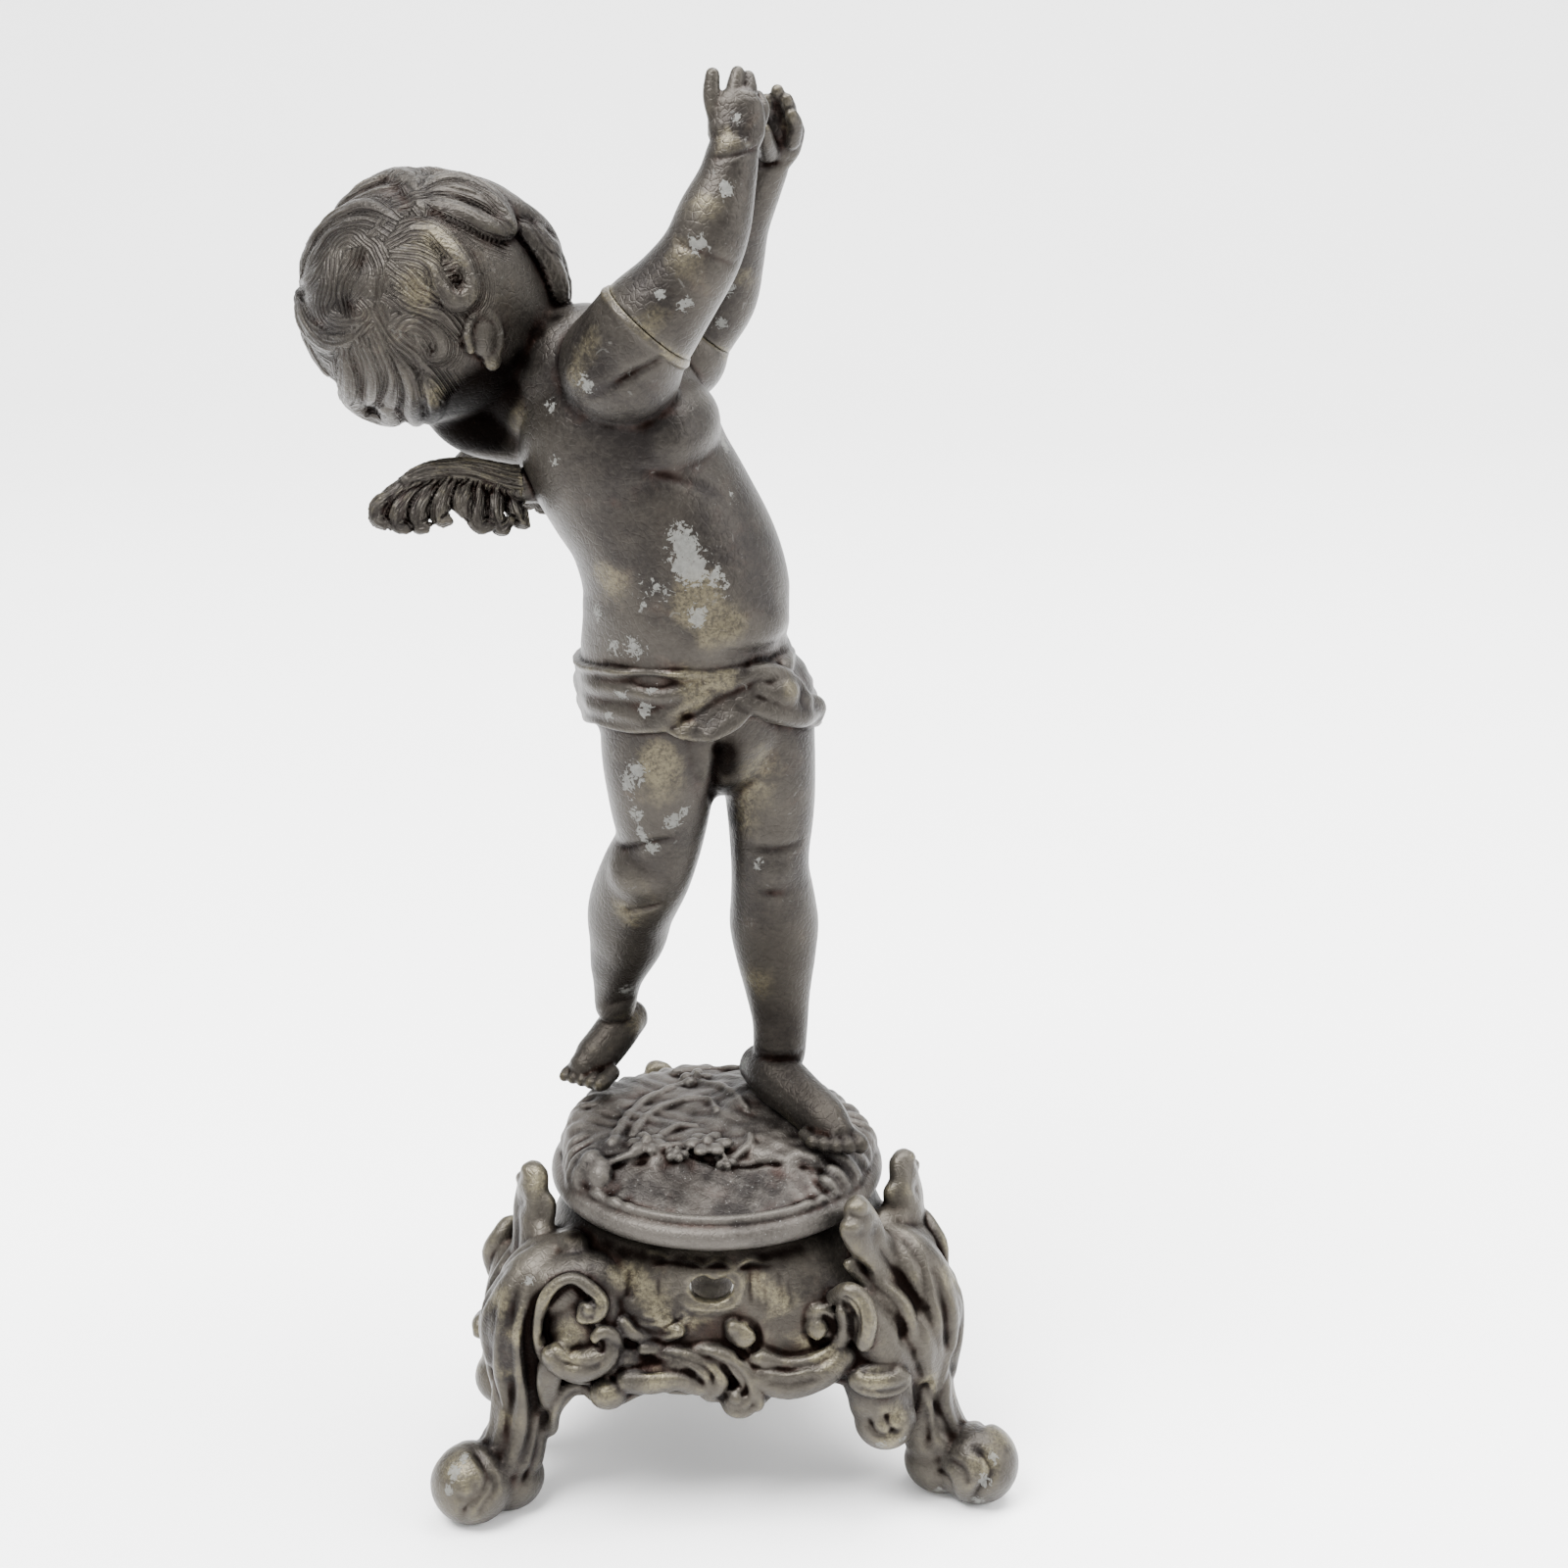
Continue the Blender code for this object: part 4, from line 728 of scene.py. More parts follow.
    def add_features(self, clay: Clay) -> None:
        """Adds eyes with lids, brows, nose, lips and ears."""
        face = (self.ahead, self.up)
        for side in (-1, 1):
            clay.ball(self.at(23.9, side * 10.6, -2.0), (4.7, 4.9, 4.4), *face)
            for up, out, radius in ((1.9, 0.4, 0.95), (-5.4, -0.5, 0.7)):
                lid = [(26.2, side * 5.4, -2.4), (28.4 + out, side * 8.4, -2.0 + (up + 2.0) * 0.8),
                       (28.7 + out, side * 11.0, up), (27.4 + out, side * 14.0, -2.0 + (up + 2.0) * 0.7),
                       (24.8, side * 16.4, -2.8)]
                clay.roll([(*self.at(*p), radius) for p in lid], sides=8)
            brow = [(29.4, side * 4.5, 5.0), (29.3, side * 9.5, 7.0), (26.6, side * 14.5, 6.2),
                    (23.0, side * 18.5, 3.0)]
            clay.roll([(*self.at(*p), 1.5) for p in brow], sides=8)
            clay.ball(self.at(31.2, side * 3.1, -9.9), (2.6, 2.0, 2.0), *face, 16)
            turns = [math.radians(200 - 32 * k) for k in range(9)]
            rim = [self.at(-5.0 + 4.5 * math.cos(t), side * 27.9, -6.0 + 5.94 * math.sin(t)) for t in turns]
            clay.roll([(*p, 1.15) for p in rim], sides=8)
            clay.ball(self.at(-4.6, side * 27.2, -6.0), (4.0, 2.2, 5.2), *face, 16)
            clay.ball(self.at(-3.6, side * 27.2, -12.2), (2.4, 1.8, 2.6), *face, 16)
        nose = [(28.4, 0, 3.0, 1.9), (30.0, 0, -2.0, 1.9), (31.8, 0, -6.0, 2.2), (32.9, 0, -9.2, 2.7)]
        clay.roll([(*self.at(*p[:3]), p[3]) for p in nose], sides=12)
        upper = [(28.6, -5.4, -16.6), (30.6, -2.4, -15.3), (30.9, 0, -15.8), (30.6, 2.4, -15.3),
                 (28.6, 5.4, -16.6)]
        lower = [(28.6, -4.6, -17.0), (30.2, -2.0, -18.3), (30.5, 0, -18.5), (30.2, 2.0, -18.3),
                 (28.6, 4.6, -17.0)]
        clay.roll([(*self.at(*p), 1.15) for p in upper], sides=8)
        clay.roll([(*self.at(*p), 1.35) for p in lower], sides=8)

    def lock_trails(self) -> list[tuple[float, list[Vector]]]:
        """Every lock's radius and places."""
        locks = list(self.near_locks) + self.far_locks()
        return [(lock[0], [self.over(*p, self.lift) for p in lock[1:]]) for lock in locks]

    def add_hair(self, clay: Clay) -> None:
        """Adds the locks, softly melted together, as rolls that swell at their middle and taper."""
        mass = Clay("hair")
        mass.ball(self.at(-3.4, 0, 1.5), (29.4, 29.0, 29.2), self.ahead, self.up, 40)
        for radius, trail in self.lock_trails():
            rows = []
            for k, place in enumerate(trail):
                share = k / (len(trail) - 1)
                rows.append((*place, radius * (0.62 + 0.48 * math.sin(math.pi * (0.16 + 0.74 * share)))))
            mass.roll(rows, sides=10, steps=4)
        clay.take(mass.fused(self.hair_grain, 8))

    def comb(self, skin: Skin) -> None:
        """Combs strands along the locks and deepens the hollows of the curls."""
        for lon, lat, radius, depth in self.hollows:
            skin.press(self.over(lon, lat), radius, depth)
        skin.write()
        first = np.array(Vector(self.ahead).normalized())
        top = np.array(Vector(self.up).normalized())
        offset = skin.co - np.array(self.at(0, 0, 0)) / MM
        length = np.linalg.norm(offset, axis=1)
        way = offset / np.maximum(length, 1e-6)[:, None]
        height = way @ top
        limit = np.where(height > 0, 0.22 + 0.42 * height, 0.22 + 0.9 * height)
        hair = np.clip((limit - way @ first) / 0.10, 0, 1) * np.clip((41.0 - length) / 2.0, 0, 1)
        hair *= np.clip((way @ np.array((-0.55, -0.2, 0.81)) + 0.93) / 0.15, 0, 1)
        locks = self.lock_trails()
        for radius, trail in locks[self.forelocks[0]:self.forelocks[1]]:
            near, distance, _ = skin.trail(trail, radius * 1.3)
            hair[near] = np.maximum(hair[near], np.clip(radius * 1.3 - distance, 0, 1))
        trails = [(smooth_rows([tuple(c / MM for c in p) for p in trail], 8), radius * 1.7)
                  for radius, trail in locks]
        skin.strands(trails, self.comb_pitch, self.comb_depth, hair, self.fine_pitch)
        skin.write()
        for share, turn in ((-13, 0.35), (-16, -0.2)):
            line = [self.over(share - 2 + 3 * math.sin(k), 40 - 11 * k, 0.99) for k in range(6)]
            skin.crease(line, 0.9, 0.5 + turn)


@dataclass
class Loincloth:
    """Cloth wrapped round the hips, with rolled edges, folds across it and a knot.

    Places on it are degrees from +X, negative towards -Y, and a share of 20.5 mm up."""

    grain: float = 0.55
    hem: tuple = ((-180, 0.15), (-151, 0.32), (-123, 0.34), (-104, 0.42), (-99, 0.35), (-90, 0.31),
                  (-80, 0.35), (-69, 0.47), (-62, 0.60), (-42, 0.54), (-35, 0.40), (-10, 0.15), (30, 0.0),
                  (90, -0.05), (150, 0.05), (180, 0.15))
    waist: tuple = ((-180, 1.10), (-156, 1.15), (-126, 1.26), (-107, 1.28), (-61, 1.31), (-22, 1.27),
                    (10, 1.15), (60, 1.02), (120, 1.0), (180, 1.10))
    # Each fold is its height, its half width and then its places on the cloth; each seat is an
    # angle, how far the cloth lies out there, and half of how wide that is in degrees
    folds: tuple = (
        (2.2, 2.6, (-48, 1.12), (-72, 1.00), (-90, 0.80), (-112, 0.50)),
        (3.2, 3.0, (-48, 1.08), (-56, 0.90), (-72, 0.60), (-90, 0.38)),
        (1.5, 2.0, (-62, 0.90), (-74, 0.72), (-88, 0.54), (-100, 0.42)),
        (1.7, 2.4, (-160, 0.84), (-121, 0.93), (-100, 0.92), (-77, 1.04), (-51, 1.18)),
        (1.1, 2.2, (-160, 0.58), (-124, 0.60), (-106, 0.52)),
        (1.2, 1.8, (-132, 1.10), (-114, 1.21), (-96, 1.24), (-84, 1.18)),
        (1.8, 2.6, (0, 0.90), (40, 0.78), (85, 0.66), (130, 0.62), (178, 0.60)),
        (1.8, 2.4, (4, 0.70), (45, 0.50), (90, 0.36), (140, 0.32), (178, 0.34)),
        (1.4, 2.0, (8, 0.48), (50, 0.26), (95, 0.14), (150, 0.16)),
        (1.1, 1.8, (30, 0.98), (80, 0.86), (135, 0.82), (176, 0.88)),
    )
    seat: tuple = ((140, 6.2, 26.0), (52, 6.6, 27.0))
    dents: tuple = ((-106, 1.10, 4.6, 1.7), (-76, 0.98, 3.0, 0.9), (-93, 0.66, 2.0, 0.9),
                    (-64, 0.74, 2.2, 1.1))

    def row(self, share: float) -> Row:
        """Middle and radii of the cloth at a height."""
        return (-1.5 - 5.5 * share, 2.0, 101.0 + 20.5 * share,
                28.6 - 1.6 * share + 1.4 * math.sin(math.pi * min(max(share, 0), 1)), 24.5 - 0.6 * share)

    def at(self, angle: float, share: float, lift: float = 0.0) -> Vector:
        """World place of a point on the cloth."""
        x, y, z, across, deep = self.row(share)
        turn = math.radians(angle)
        return spot(x + (across + lift) * math.cos(turn), y + (deep + lift) * math.sin(turn), z)

    def height_field(self, angles: np.ndarray, shares: np.ndarray) -> np.ndarray:
        """How far the folds stand out over a grid of places.

        Args:
            angles: The grid's angles in degrees.
            shares: The grid's shares of the height.

        Returns:
            Heights in mm.
        """
        out = np.zeros_like(angles)
        scale = np.array((26.5 * math.pi / 180, 20.5))
        for rise, width, *trail in self.folds:
            line = smooth_rows(trail, 10)
            best = np.full(angles.shape, 1e9)
            part = np.zeros_like(angles)
            for i, point in enumerate(line):
                gap = (np.remainder(angles - point[0] + 180, 360) - 180) * scale[0]
                distance = np.hypot(gap, (shares - point[1]) * scale[1])
                part = np.where(distance < best, i / (len(line) - 1), part)
                best = np.minimum(best, distance)
            ends = np.clip(np.minimum(part, 1 - part) * 7 + 0.35, 0, 1)
            ridge = rise * ends * np.exp(-(best / width) ** 2)
            valley = 0.35 * rise * ends * np.exp(-((best - 2.1 * width) / width) ** 2)
            out = np.maximum(out, ridge) - valley * 0.5
        for angle, share, radius, depth in self.dents:
            gap = (np.remainder(angles - angle + 180, 360) - 180) * scale[0]
            out -= depth * np.exp(-(gap ** 2 + ((shares - share) * scale[1] * 1.6) ** 2) / radius ** 2)
        return out

    def add(self, clay: Clay) -> None:
        """Adds the cloth's body with its folds, and the knot with its two ends."""
        cloth = Clay("cloth")
        columns, rows = 320, 76
        angles = np.linspace(-180, 180, columns, endpoint=False)
        hem = np.interp(angles, *zip(*self.hem))
        waist = np.interp(angles, *zip(*self.waist))
        steps = np.linspace(0, 1, rows)[:, None]
        shares = hem + (waist - hem) * steps
        grid = np.broadcast_to(angles, shares.shape)
        lift = self.height_field(grid.copy(), shares) + 0.3
        for angle, out, broad in self.seat:
            turn = np.remainder(grid - angle + 180, 360) - 180
            lift = lift + out * np.exp(-(turn / broad) ** 2 - ((shares - 0.5) / 0.55) ** 2)
        tall = (waist - hem) * 20.5
        lift += 1.6 * np.exp(-(((1 - steps) * tall - 1.4) / 1.5) ** 2)
        lift += 1.1 * np.exp(-((steps * tall - 1.2) / 1.3) ** 2)
        lift -= 5.0 * np.exp(-(((1 - steps) * tall) / 0.8) ** 2) + 3.4 * np.exp(-((steps * tall) / 0.7) ** 2)
        mesh = cloth.mesh
        rings = [[mesh.verts.new(self.at(grid[j, i], shares[j, i], lift[j, i])) for i in range(columns)]
                 for j in range(rows)]
        for low, high in zip(rings, rings[1:]):
            for k in range(columns):
                n = (k + 1) % columns
                mesh.faces.new((low[k], low[n], high[n], high[k]))
        for ring, share in ((rings[0], 0.3), (rings[-1], 1.1)):
            x, y, z, _, _ = self.row(share)
            hub = mesh.verts.new(spot(x, y, z))
            for k in range(columns):
                mesh.faces.new((ring[k], ring[(k + 1) % columns], hub))
        cloth.ball(self.at(-40, 0.86, 1.6), (6.0, 5.4, 5.0), (0.7, -0.5, -0.35))
        cloth.ball(self.at(-30, 0.66, 1.0), (5.0, 4.6, 4.4), (0.8, -0.4, -0.4))
        cloth.ball(self.at(-18, 0.50, 0.2), (4.2, 4.0, 3.4), (0.8, -0.3, -0.6))
        loops = (((-60, 1.06, 0.0, 2.4), (-48, 1.14, 1.6, 3.0), (-36, 1.02, 2.8, 3.0), (-28, 0.84, 3.0, 2.4)),
                 ((-62, 0.80, 0.6, 2.4), (-50, 0.66, 2.4, 3.0), (-36, 0.52, 3.0, 3.0), (-24, 0.46, 2.0, 2.4)),
                 ((-52, 0.98, 2.6, 1.8), (-46, 0.84, 3.8, 2.2), (-40, 0.68, 4.0, 2.2), (-34, 0.56, 2.8, 1.8)),
                 ((-10, 1.10, -0.6, 2.4), (-24, 1.06, 0.8, 2.6), (-38, 0.96, 2.6, 2.2)),
                 ((-26, 0.66, 2.0, 2.4), (-14, 0.50, 2.0, 2.8), (-12, 0.36, 0.8, 2.4)))
        for loop in loops:
            cloth.roll([(*self.at(a, s, out), r) for a, s, out, r in loop], sides=10)
        clay.take(cloth.fused(self.grain, 4))


@dataclass
class Cherub:
    """The figure's main casting: trunk, head, loincloth and legs."""

    head: Head = field(default_factory=Head)
    cloth: Loincloth = field(default_factory=Loincloth)
    triangles: int = 196000
    rough_grain: float = 0.9
    fine_grain: float = 0.5
    seam: Row = (-10.0, 3.0, 208.0)
    seam_way: Row = (0.67, 0.0, 0.742)
    # Rows are a figure point and then its radii, if any; masses end with the way they face
    torso: tuple = (
        (-2.0, 2.0, 107.0, 22.0, 18.0), (-4.5, 2.0, 114.0, 27.0, 22.4), (-8.3, 1.0, 124.5, 25.3, 23.0),
        (-6.7, 0.0, 137.0, 26.5, 25.0), (-8.0, 0.0, 147.5, 25.6, 25.0), (-13.0, 1.0, 160.0, 24.2, 25.0),
        (-18.0, 3.0, 168.0, 24.4, 26.5), (-22.5, 4.0, 177.0, 24.8, 27.5), (-27.0, 5.0, 187.0, 23.0, 26.0),
        (-32.0, 6.0, 195.0, 17.0, 20.0))
    masses: tuple = (
        (-2.0, -3.0, 135.0, 21.5, 22.0, 17.0, (0.8, -0.6, 0.0)),
        (-12.0, -2.0, 182.0, 15.0, 20.0, 13.0, (0.9, 0.0, 0.45)),
        (-21.0, -15.0, 201.0, 15.0, 14.5, 15.0, (1, 0, 0)), (-9.0, 24.0, 196.0, 13.0, 12.5, 13.0, (1, 0, 0)),
        (-16.0, 12.0, 112.0, 16.0, 16.0, 15.0, (1, 0, 0)), (6.0, 15.0, 111.0, 15.0, 15.0, 15.0, (1, 0, 0)))
    shoulders: tuple = (
        ((-21.0, -15.0, 202.0, 14.0), (-14.0, -19.0, 211.8, 13.2), (-5.0, -20.5, 222.0, 11.0)),
        ((-9.0, 24.0, 195.0, 12.0), (-3.7, 28.0, 203.5, 10.8), (2.0, 27.0, 212.0, 9.8)))
    left_leg: tuple = (
        (11.5, 6.0, 111.0, 14.5), (13.6, 5.0, 96.5, 12.6), (14.5, 5.0, 81.0, 11.6), (14.3, 4.0, 66.0, 10.3),
        (15.0, 6.0, 55.0, 11.2), (15.4, 8.5, 46.0, 11.9), (15.9, 9.0, 36.0, 10.6), (16.4, 9.0, 27.0, 8.9),
        (17.0, 8.5, 18.0, 7.6), (16.8, 8.0, 9.0, 7.2))
    right_leg: tuple = (
        (-13.5, -3.0, 111.0, 15.0), (-14.0, -2.0, 98.0, 14.8), (-13.8, -1.0, 83.5, 13.2),
        (-14.4, 0.5, 73.0, 11.4), (-18.0, 3.0, 63.0, 12.0), (-22.4, 9.5, 50.7, 11.6),
        (-23.9, 14.5, 40.2, 10.5), (-26.4, 18.0, 30.3, 8.1), (-27.4, 20.0, 23.7, 6.5),
        (-28.0, 21.0, 17.0, 5.8))
    left_foot: tuple = (
        (12.0, 10.5, 3.6, 6.2), (16.0, 4.0, 3.4, 7.4), (22.5, -4.0, 1.0, 6.8), (28.5, -11.5, -1.4, 6.4),
        (32.0, -16.5, -3.2, 4.8))
    right_foot: tuple = (
        (-24.5, 25.5, 11.0, 5.2), (-27.0, 22.0, 10.0, 6.0), (-30.5, 19.0, 6.2, 6.0), (-33.8, 16.0, 3.2, 5.8),
        (-36.0, 13.9, 1.8, 4.6))
    sockets: tuple = (((-37.0, 1.0, 168.5), (-48.5, -2.0, 167.5)),
                      ((-36.0, 13.0, 168.0), (-45.5, 19.0, 165.5)))
    # Each crease is a half width, a depth and then its points
    creases: tuple = (
        (1.3, 1.1, (-29, -25.5, 195.4), (-19, -29.1, 200.9), (-8.8, -29.4, 206.5)),
        (2.4, 0.9, (0, -22, 131.5), (9, -20.5, 130.0), (16, -12, 129.5), (20, -3, 130.5)),
        (3.4, 1.3, (-47, 5, 181), (-42.5, 3, 168), (-37, 2, 160), (-33.6, 1, 147), (-33, 1, 137),
         (-33, 1, 127)),
        (1.2, 0.8, (-25.3, -1.8, 73.0), (-20.9, -9.5, 74.6), (-15.7, -12.5, 77.0), (-8, -10.5, 79)),
        (1.1, 0.6, (-24.5, -2.5, 56.5), (-21, -7, 56), (-12.4, -7.1, 58.2)),
        (1.3, 0.4, (-33.7, 19.7, 20.0), (-27, 14.2, 20.3), (-21.8, 16.8, 21.3)),
        (1.2, 0.6, (6.5, -1, 74), (14.5, -6.6, 73), (23, -2, 74)),
        (1.1, 0.6, (5.5, 2, 61.5), (14.5, -5.5, 60.5), (24, 1, 61.5)),
        (1.4, 0.4, (9.5, 5.0, 11.5), (17.0, 0.6, 10.2), (24.4, 6.0, 11.2)),
        (1.5, 0.6, (-20, -23, 178), (-8, -19.5, 174), (4, -14, 168)),
    )
    # Points of the camera's picture; those of worn places, of rubs and painted highlights, and of painted
    # shade each with a radius in mm
    fork: tuple = ((737, 752), (733, 768), (730, 784), (729, 800), (728, 818))
    worn: tuple = (
        ((700, 566), 4.2), ((706, 584), 3.4), ((694, 548), 3.0), ((712, 630), 2.6), ((668, 598), 1.9),
        ((656, 617), 1.5), ((650, 590), 1.3), ((625, 660), 2.2), ((648, 662), 2.8), ((730, 589), 2.2),
        ((743, 604), 1.2), ((682, 606), 1.2), ((609, 624), 2.0), ((649, 788), 3.0), ((641, 802), 2.2),
        ((648, 830), 2.2), ((655, 852), 1.8), ((686, 838), 2.2), ((699, 828), 1.6), ((773, 880), 1.6),
        ((658, 725), 2.2), ((620, 731), 1.7), ((668, 704), 1.4), ((634, 708), 1.7), ((664, 865), 1.8),
        ((562, 415), 1.5), ((598, 392), 2.2), ((565, 470), 1.6), ((748, 508), 1.6), ((738, 452), 2.4),
        ((760, 1085), 2.4), ((640, 1010), 2.0), ((690, 1100), 2.0))
    # Rubbed places, among them painted highlights on the loincloth's folds
    rubs_and_highlights: tuple = (
        ((677, 794), 7), ((672, 770), 6), ((773, 778), 6), ((764, 808), 6), ((757, 840), 5), ((714, 603), 6),
        ((708, 622), 5), ((740, 634), 5), ((620, 590), 6), ((440, 246), 6), ((425, 300), 5), ((450, 400), 5),
        ((600, 350), 5), ((590, 390), 5), ((530, 425), 5), ((700, 690), 4), ((712, 700), 4), ((648, 1040), 5),
        ((770, 1000), 5), ((812, 1150), 5), ((640, 930), 5), ((711, 720), 3.4), ((744, 690), 3.0),
        ((694, 736), 3.0), ((809, 701), 2.6), ((720, 654), 3.4), ((742, 637), 3.4), ((735, 700), 3.0))
    # Painted shade: the deep shadow between the head, the neck and the wings, and in the fork of the legs
    painted_shade_spots: tuple = (
        ((440, 428), 5.0), ((460, 440), 5.0), ((484, 444), 5.0), ((504, 446), 4.0), ((470, 412), 5.0),
        ((488, 396), 5.0), ((506, 384), 4.4), ((494, 410), 5.4), ((508, 420), 4.4), ((478, 402), 5.0),
        ((520, 398), 3.6), ((530, 366), 2.6), ((550, 340), 2.2), ((567, 325), 1.8), ((460, 455), 4.0),
        ((740, 765), 3.4), ((741, 785), 3.6), ((742, 805), 3.4), ((744, 832), 3.0), ((743, 862), 2.6))

    def build(self) -> Object:
        """Builds the body.

        Returns:
            Its finished skin.
        """
        flesh = Clay("flesh")
        flesh.roll([(*spot(*r[:3]), *r[3:]) for r in self.torso], sides=40, steps=5)
        for x, y, z, a, b, c, ahead in self.masses:
            flesh.ball(spot(x, y, z), (a, b, c), ahead, segments=40)
        for limb in (*self.shoulders, self.left_leg, self.right_leg):
            flesh.roll([(*spot(*r[:3]), r[3]) for r in limb], sides=28, steps=5)
        flesh.ball(spot(-19.0, -1.5, 65.5), (9.2, 9.6, 9.2))
        flesh.ball(spot(14.6, 1.5, 66.0), (8.6, 8.4, 8.0))
        self.head.add_flesh(flesh)
        base = Skin(flesh.fused(self.rough_grain, 14))
        self.head.model_face(base)
        base.press(spot(-46, -8, 184), 7.0, -1.2)
        base.press(spot(-44, 17, 184), 7.0, -1.2)
        base.press(spot(21.0, -1.0, 137.5), 2.4, 1.6)
        base.write()
        detail = Clay("body")
        detail.take(base.thing)
        self.head.add_features(detail)
        self.head.add_hair(detail)
        self.cloth.add(detail)
        self.add_feet(detail)
        for root, tip in self.sockets:
            detail.roll([(*spot(*root), 5.5), (*spot(*tip), 4.2)], sides=16)
        body = detail.fused(self.fine_grain, 1)
        cut_flat(body, spot(*self.seam), Vector(self.seam_way).normalized())
        skin = Skin(body)
        self.work(skin)
        return skin.finished(self.triangles)

    def add_feet(self, clay: Clay) -> None:
        """Adds both feet and their toes."""
        clay.roll([(*spot(*r[:3]), r[3]) for r in self.left_foot], (0.8, 0.6, 0.0), 20)
        clay.roll([(*spot(*r[:3]), r[3]) for r in self.right_foot], (0.85, -0.5, 0.0), 20)
        for k in range(5):
            base = Vector((36.0 - 2.8 * k, -17.2 - 2.0 * k + 0.38 * k * k, -4.0 + 0.1 * k))
            way = Vector((0.5, -0.85, -0.10)).normalized()
            long = 3.9 - 0.55 * k
            size = 2.75 - 0.22 * k
            rows = [(base - way * 3, size * 0.9), (base, size * 0.92), (base + way * long * 0.6, size),
                    (base + way * long, size * 0.9)]
            clay.roll([(*spot(*p), r) for p, r in rows], sides=12)
        for k in range(5):
            base = Vector((-40.0 + 2.5 * k, 15.0 - 1.35 * k, 0.4))
            way = Vector((-0.5, -0.84, -0.2)).normalized()
            size = 1.85 + 0.13 * k
            rows = [(base - way * 2.4, size), (base, size * 0.94), (base + way * 2.0, size * 1.02),
                    (base + way * 3.4, size * 0.85)]
            clay.roll([(*spot(*p), r) for p, r in rows], sides=12)

    def work(self, skin: Skin) -> None:
        """Works the creases, the bead at the near arm's seam, the hair, the worn places, the painted
        highlights and the painted shade.
        """
        skin.write()
        for width, depth, *points in self.creases:
            skin.crease([spot(*p) for p in points], width, depth)
        skin.crease([near_place(*p, skin) for p in self.fork], 1.7, 2.4)
        away = np.array(Vector(self.seam_way).normalized())
        beyond = (skin.co - np.array(spot(*self.seam)) / MM) @ away
        near = np.exp(-((skin.co[:, 1] - (AXIS.y / MM - 15)) / 22.0) ** 4)
        skin.push(0.42 * np.exp(-((beyond + 1.4) / 0.8) ** 2) * near)
        skin.write()
        self.head.comb(skin)
        skin.note("chips", skin.spots(self.worn, 1.0))
        skin.note("rubs_and_highlights", skin.spots(self.rubs_and_highlights, 0.8))
        # Painted shade on the lower legs, darker towards the feet
        leg_shade = 0.34 * np.clip((CROWN + 68.0 - skin.co[:, 2]) / 26.0, 0, 1)
        skin.note("painted_shade", np.maximum(skin.spots(self.painted_shade_spots, 1.3), leg_shade))


# The studio camera: its place in mm from the base's axis, its drop in degrees, and its
# focal length in pixels of the picture; then the plate's corner and scale in the picture
VIEW_PLACE = (18.0, -700.0, 445.0)
VIEW_DROP = 20.0
VIEW_REACH = 2965.0
PICTURE = 1600
PLATE_CORNER = (400.0, 1150.0)
PLATE_SCALE = 2.376


def sight(px: float, py: float) -> tuple[np.ndarray, np.ndarray]:
    """Sight line of the studio camera through a point of its 1600 px picture.

    Args:
        px: Picture x.
        py: Picture y.

    Returns:
        The eye's place in mm from the base's axis, and the line's direction.
    """
    half = PICTURE / 2
    drop = math.radians(90 - VIEW_DROP)
    x, y = (px - half) / VIEW_REACH, -(py - half) / VIEW_REACH
    way = np.array((x, math.cos(drop) * y + math.sin(drop), math.sin(drop) * y - math.cos(drop)))
    return np.array(VIEW_PLACE), way / np.linalg.norm(way)


def plate_pixel(x: float, y: float) -> tuple[float, float]:
    """Picture point of a dot on the plate that the base's carving is drawn on."""
    return PLATE_CORNER[0] + x / PLATE_SCALE, PLATE_CORNER[1] + y / PLATE_SCALE


def near_place(px: float, py: float, skin: Skin) -> Vector:
    """Place on a skin that the studio camera sees at a point of its 1600 px picture.

    Args:
        px: Picture x.
        py: Picture y.
        skin: The skin.

    Returns:
        The world place.
    """
    eye, way = sight(px, py)
    offset = skin.co - np.array(AXIS) / MM - eye
    depth = offset @ way
    aside = np.linalg.norm(offset - depth[:, None] * way, axis=1)
    return Vector(skin.co[np.argmin(aside * 30 + depth)] * MM)


@dataclass
class Arm:
    """A raised arm, cast on its own, with its hand."""

    node: str
    limb: tuple
    palm: tuple
    fingers: tuple
    thumb: tuple
    size: float
    creases: tuple
    worn: tuple
    rubs_and_highlights: tuple
    triangles: int = 120000
    rough_grain: float = 0.7
    fine_grain: float = 0.42

    def build(self, figure: Cherub) -> Object:
        """Builds the arm.

        Args:
            figure: The figure whose seam it meets.

        Returns:
            Its finished skin.
        """
        flesh = Clay("arm")
        flesh.roll([(*spot(*r[:3]), r[3]) for r in self.limb], sides=28, steps=5)
        base = flesh.fused(self.rough_grain, 8)
        hand = Clay("hand")
        hand.take(base)
        s = self.size
        radii = ((5.2, 5.0), (6.7, 4.3), (6.4, 3.5))
        hand.roll([(*spot(*p), a * s, b * s) for p, (a, b) in zip(self.palm, radii)], sides=20)
        for joints in self.fingers:
            rows = [(*spot(*p), r * s) for p, r in zip(joints, (2.35, 2.15, 1.75))]
            hand.roll(rows, sides=12)
        hand.roll([(*spot(*p), r * s) for p, r in zip(self.thumb, (2.9, 2.5, 1.9))], sides=12)
        arm = hand.fused(self.fine_grain, 2)
        away = Vector(figure.seam_way).normalized()
        cut_flat(arm, spot(*figure.seam) + away * 0.3 * MM, -away)
        skin = Skin(arm)
        for width, depth, *points in self.creases:
            skin.crease([spot(*p) for p in points], width, depth, False)
        skin.note("chips", skin.spots(self.worn, 1.0))
        skin.note("rubs_and_highlights", skin.spots(self.rubs_and_highlights, 0.7))
        return skin.finished(self.triangles)


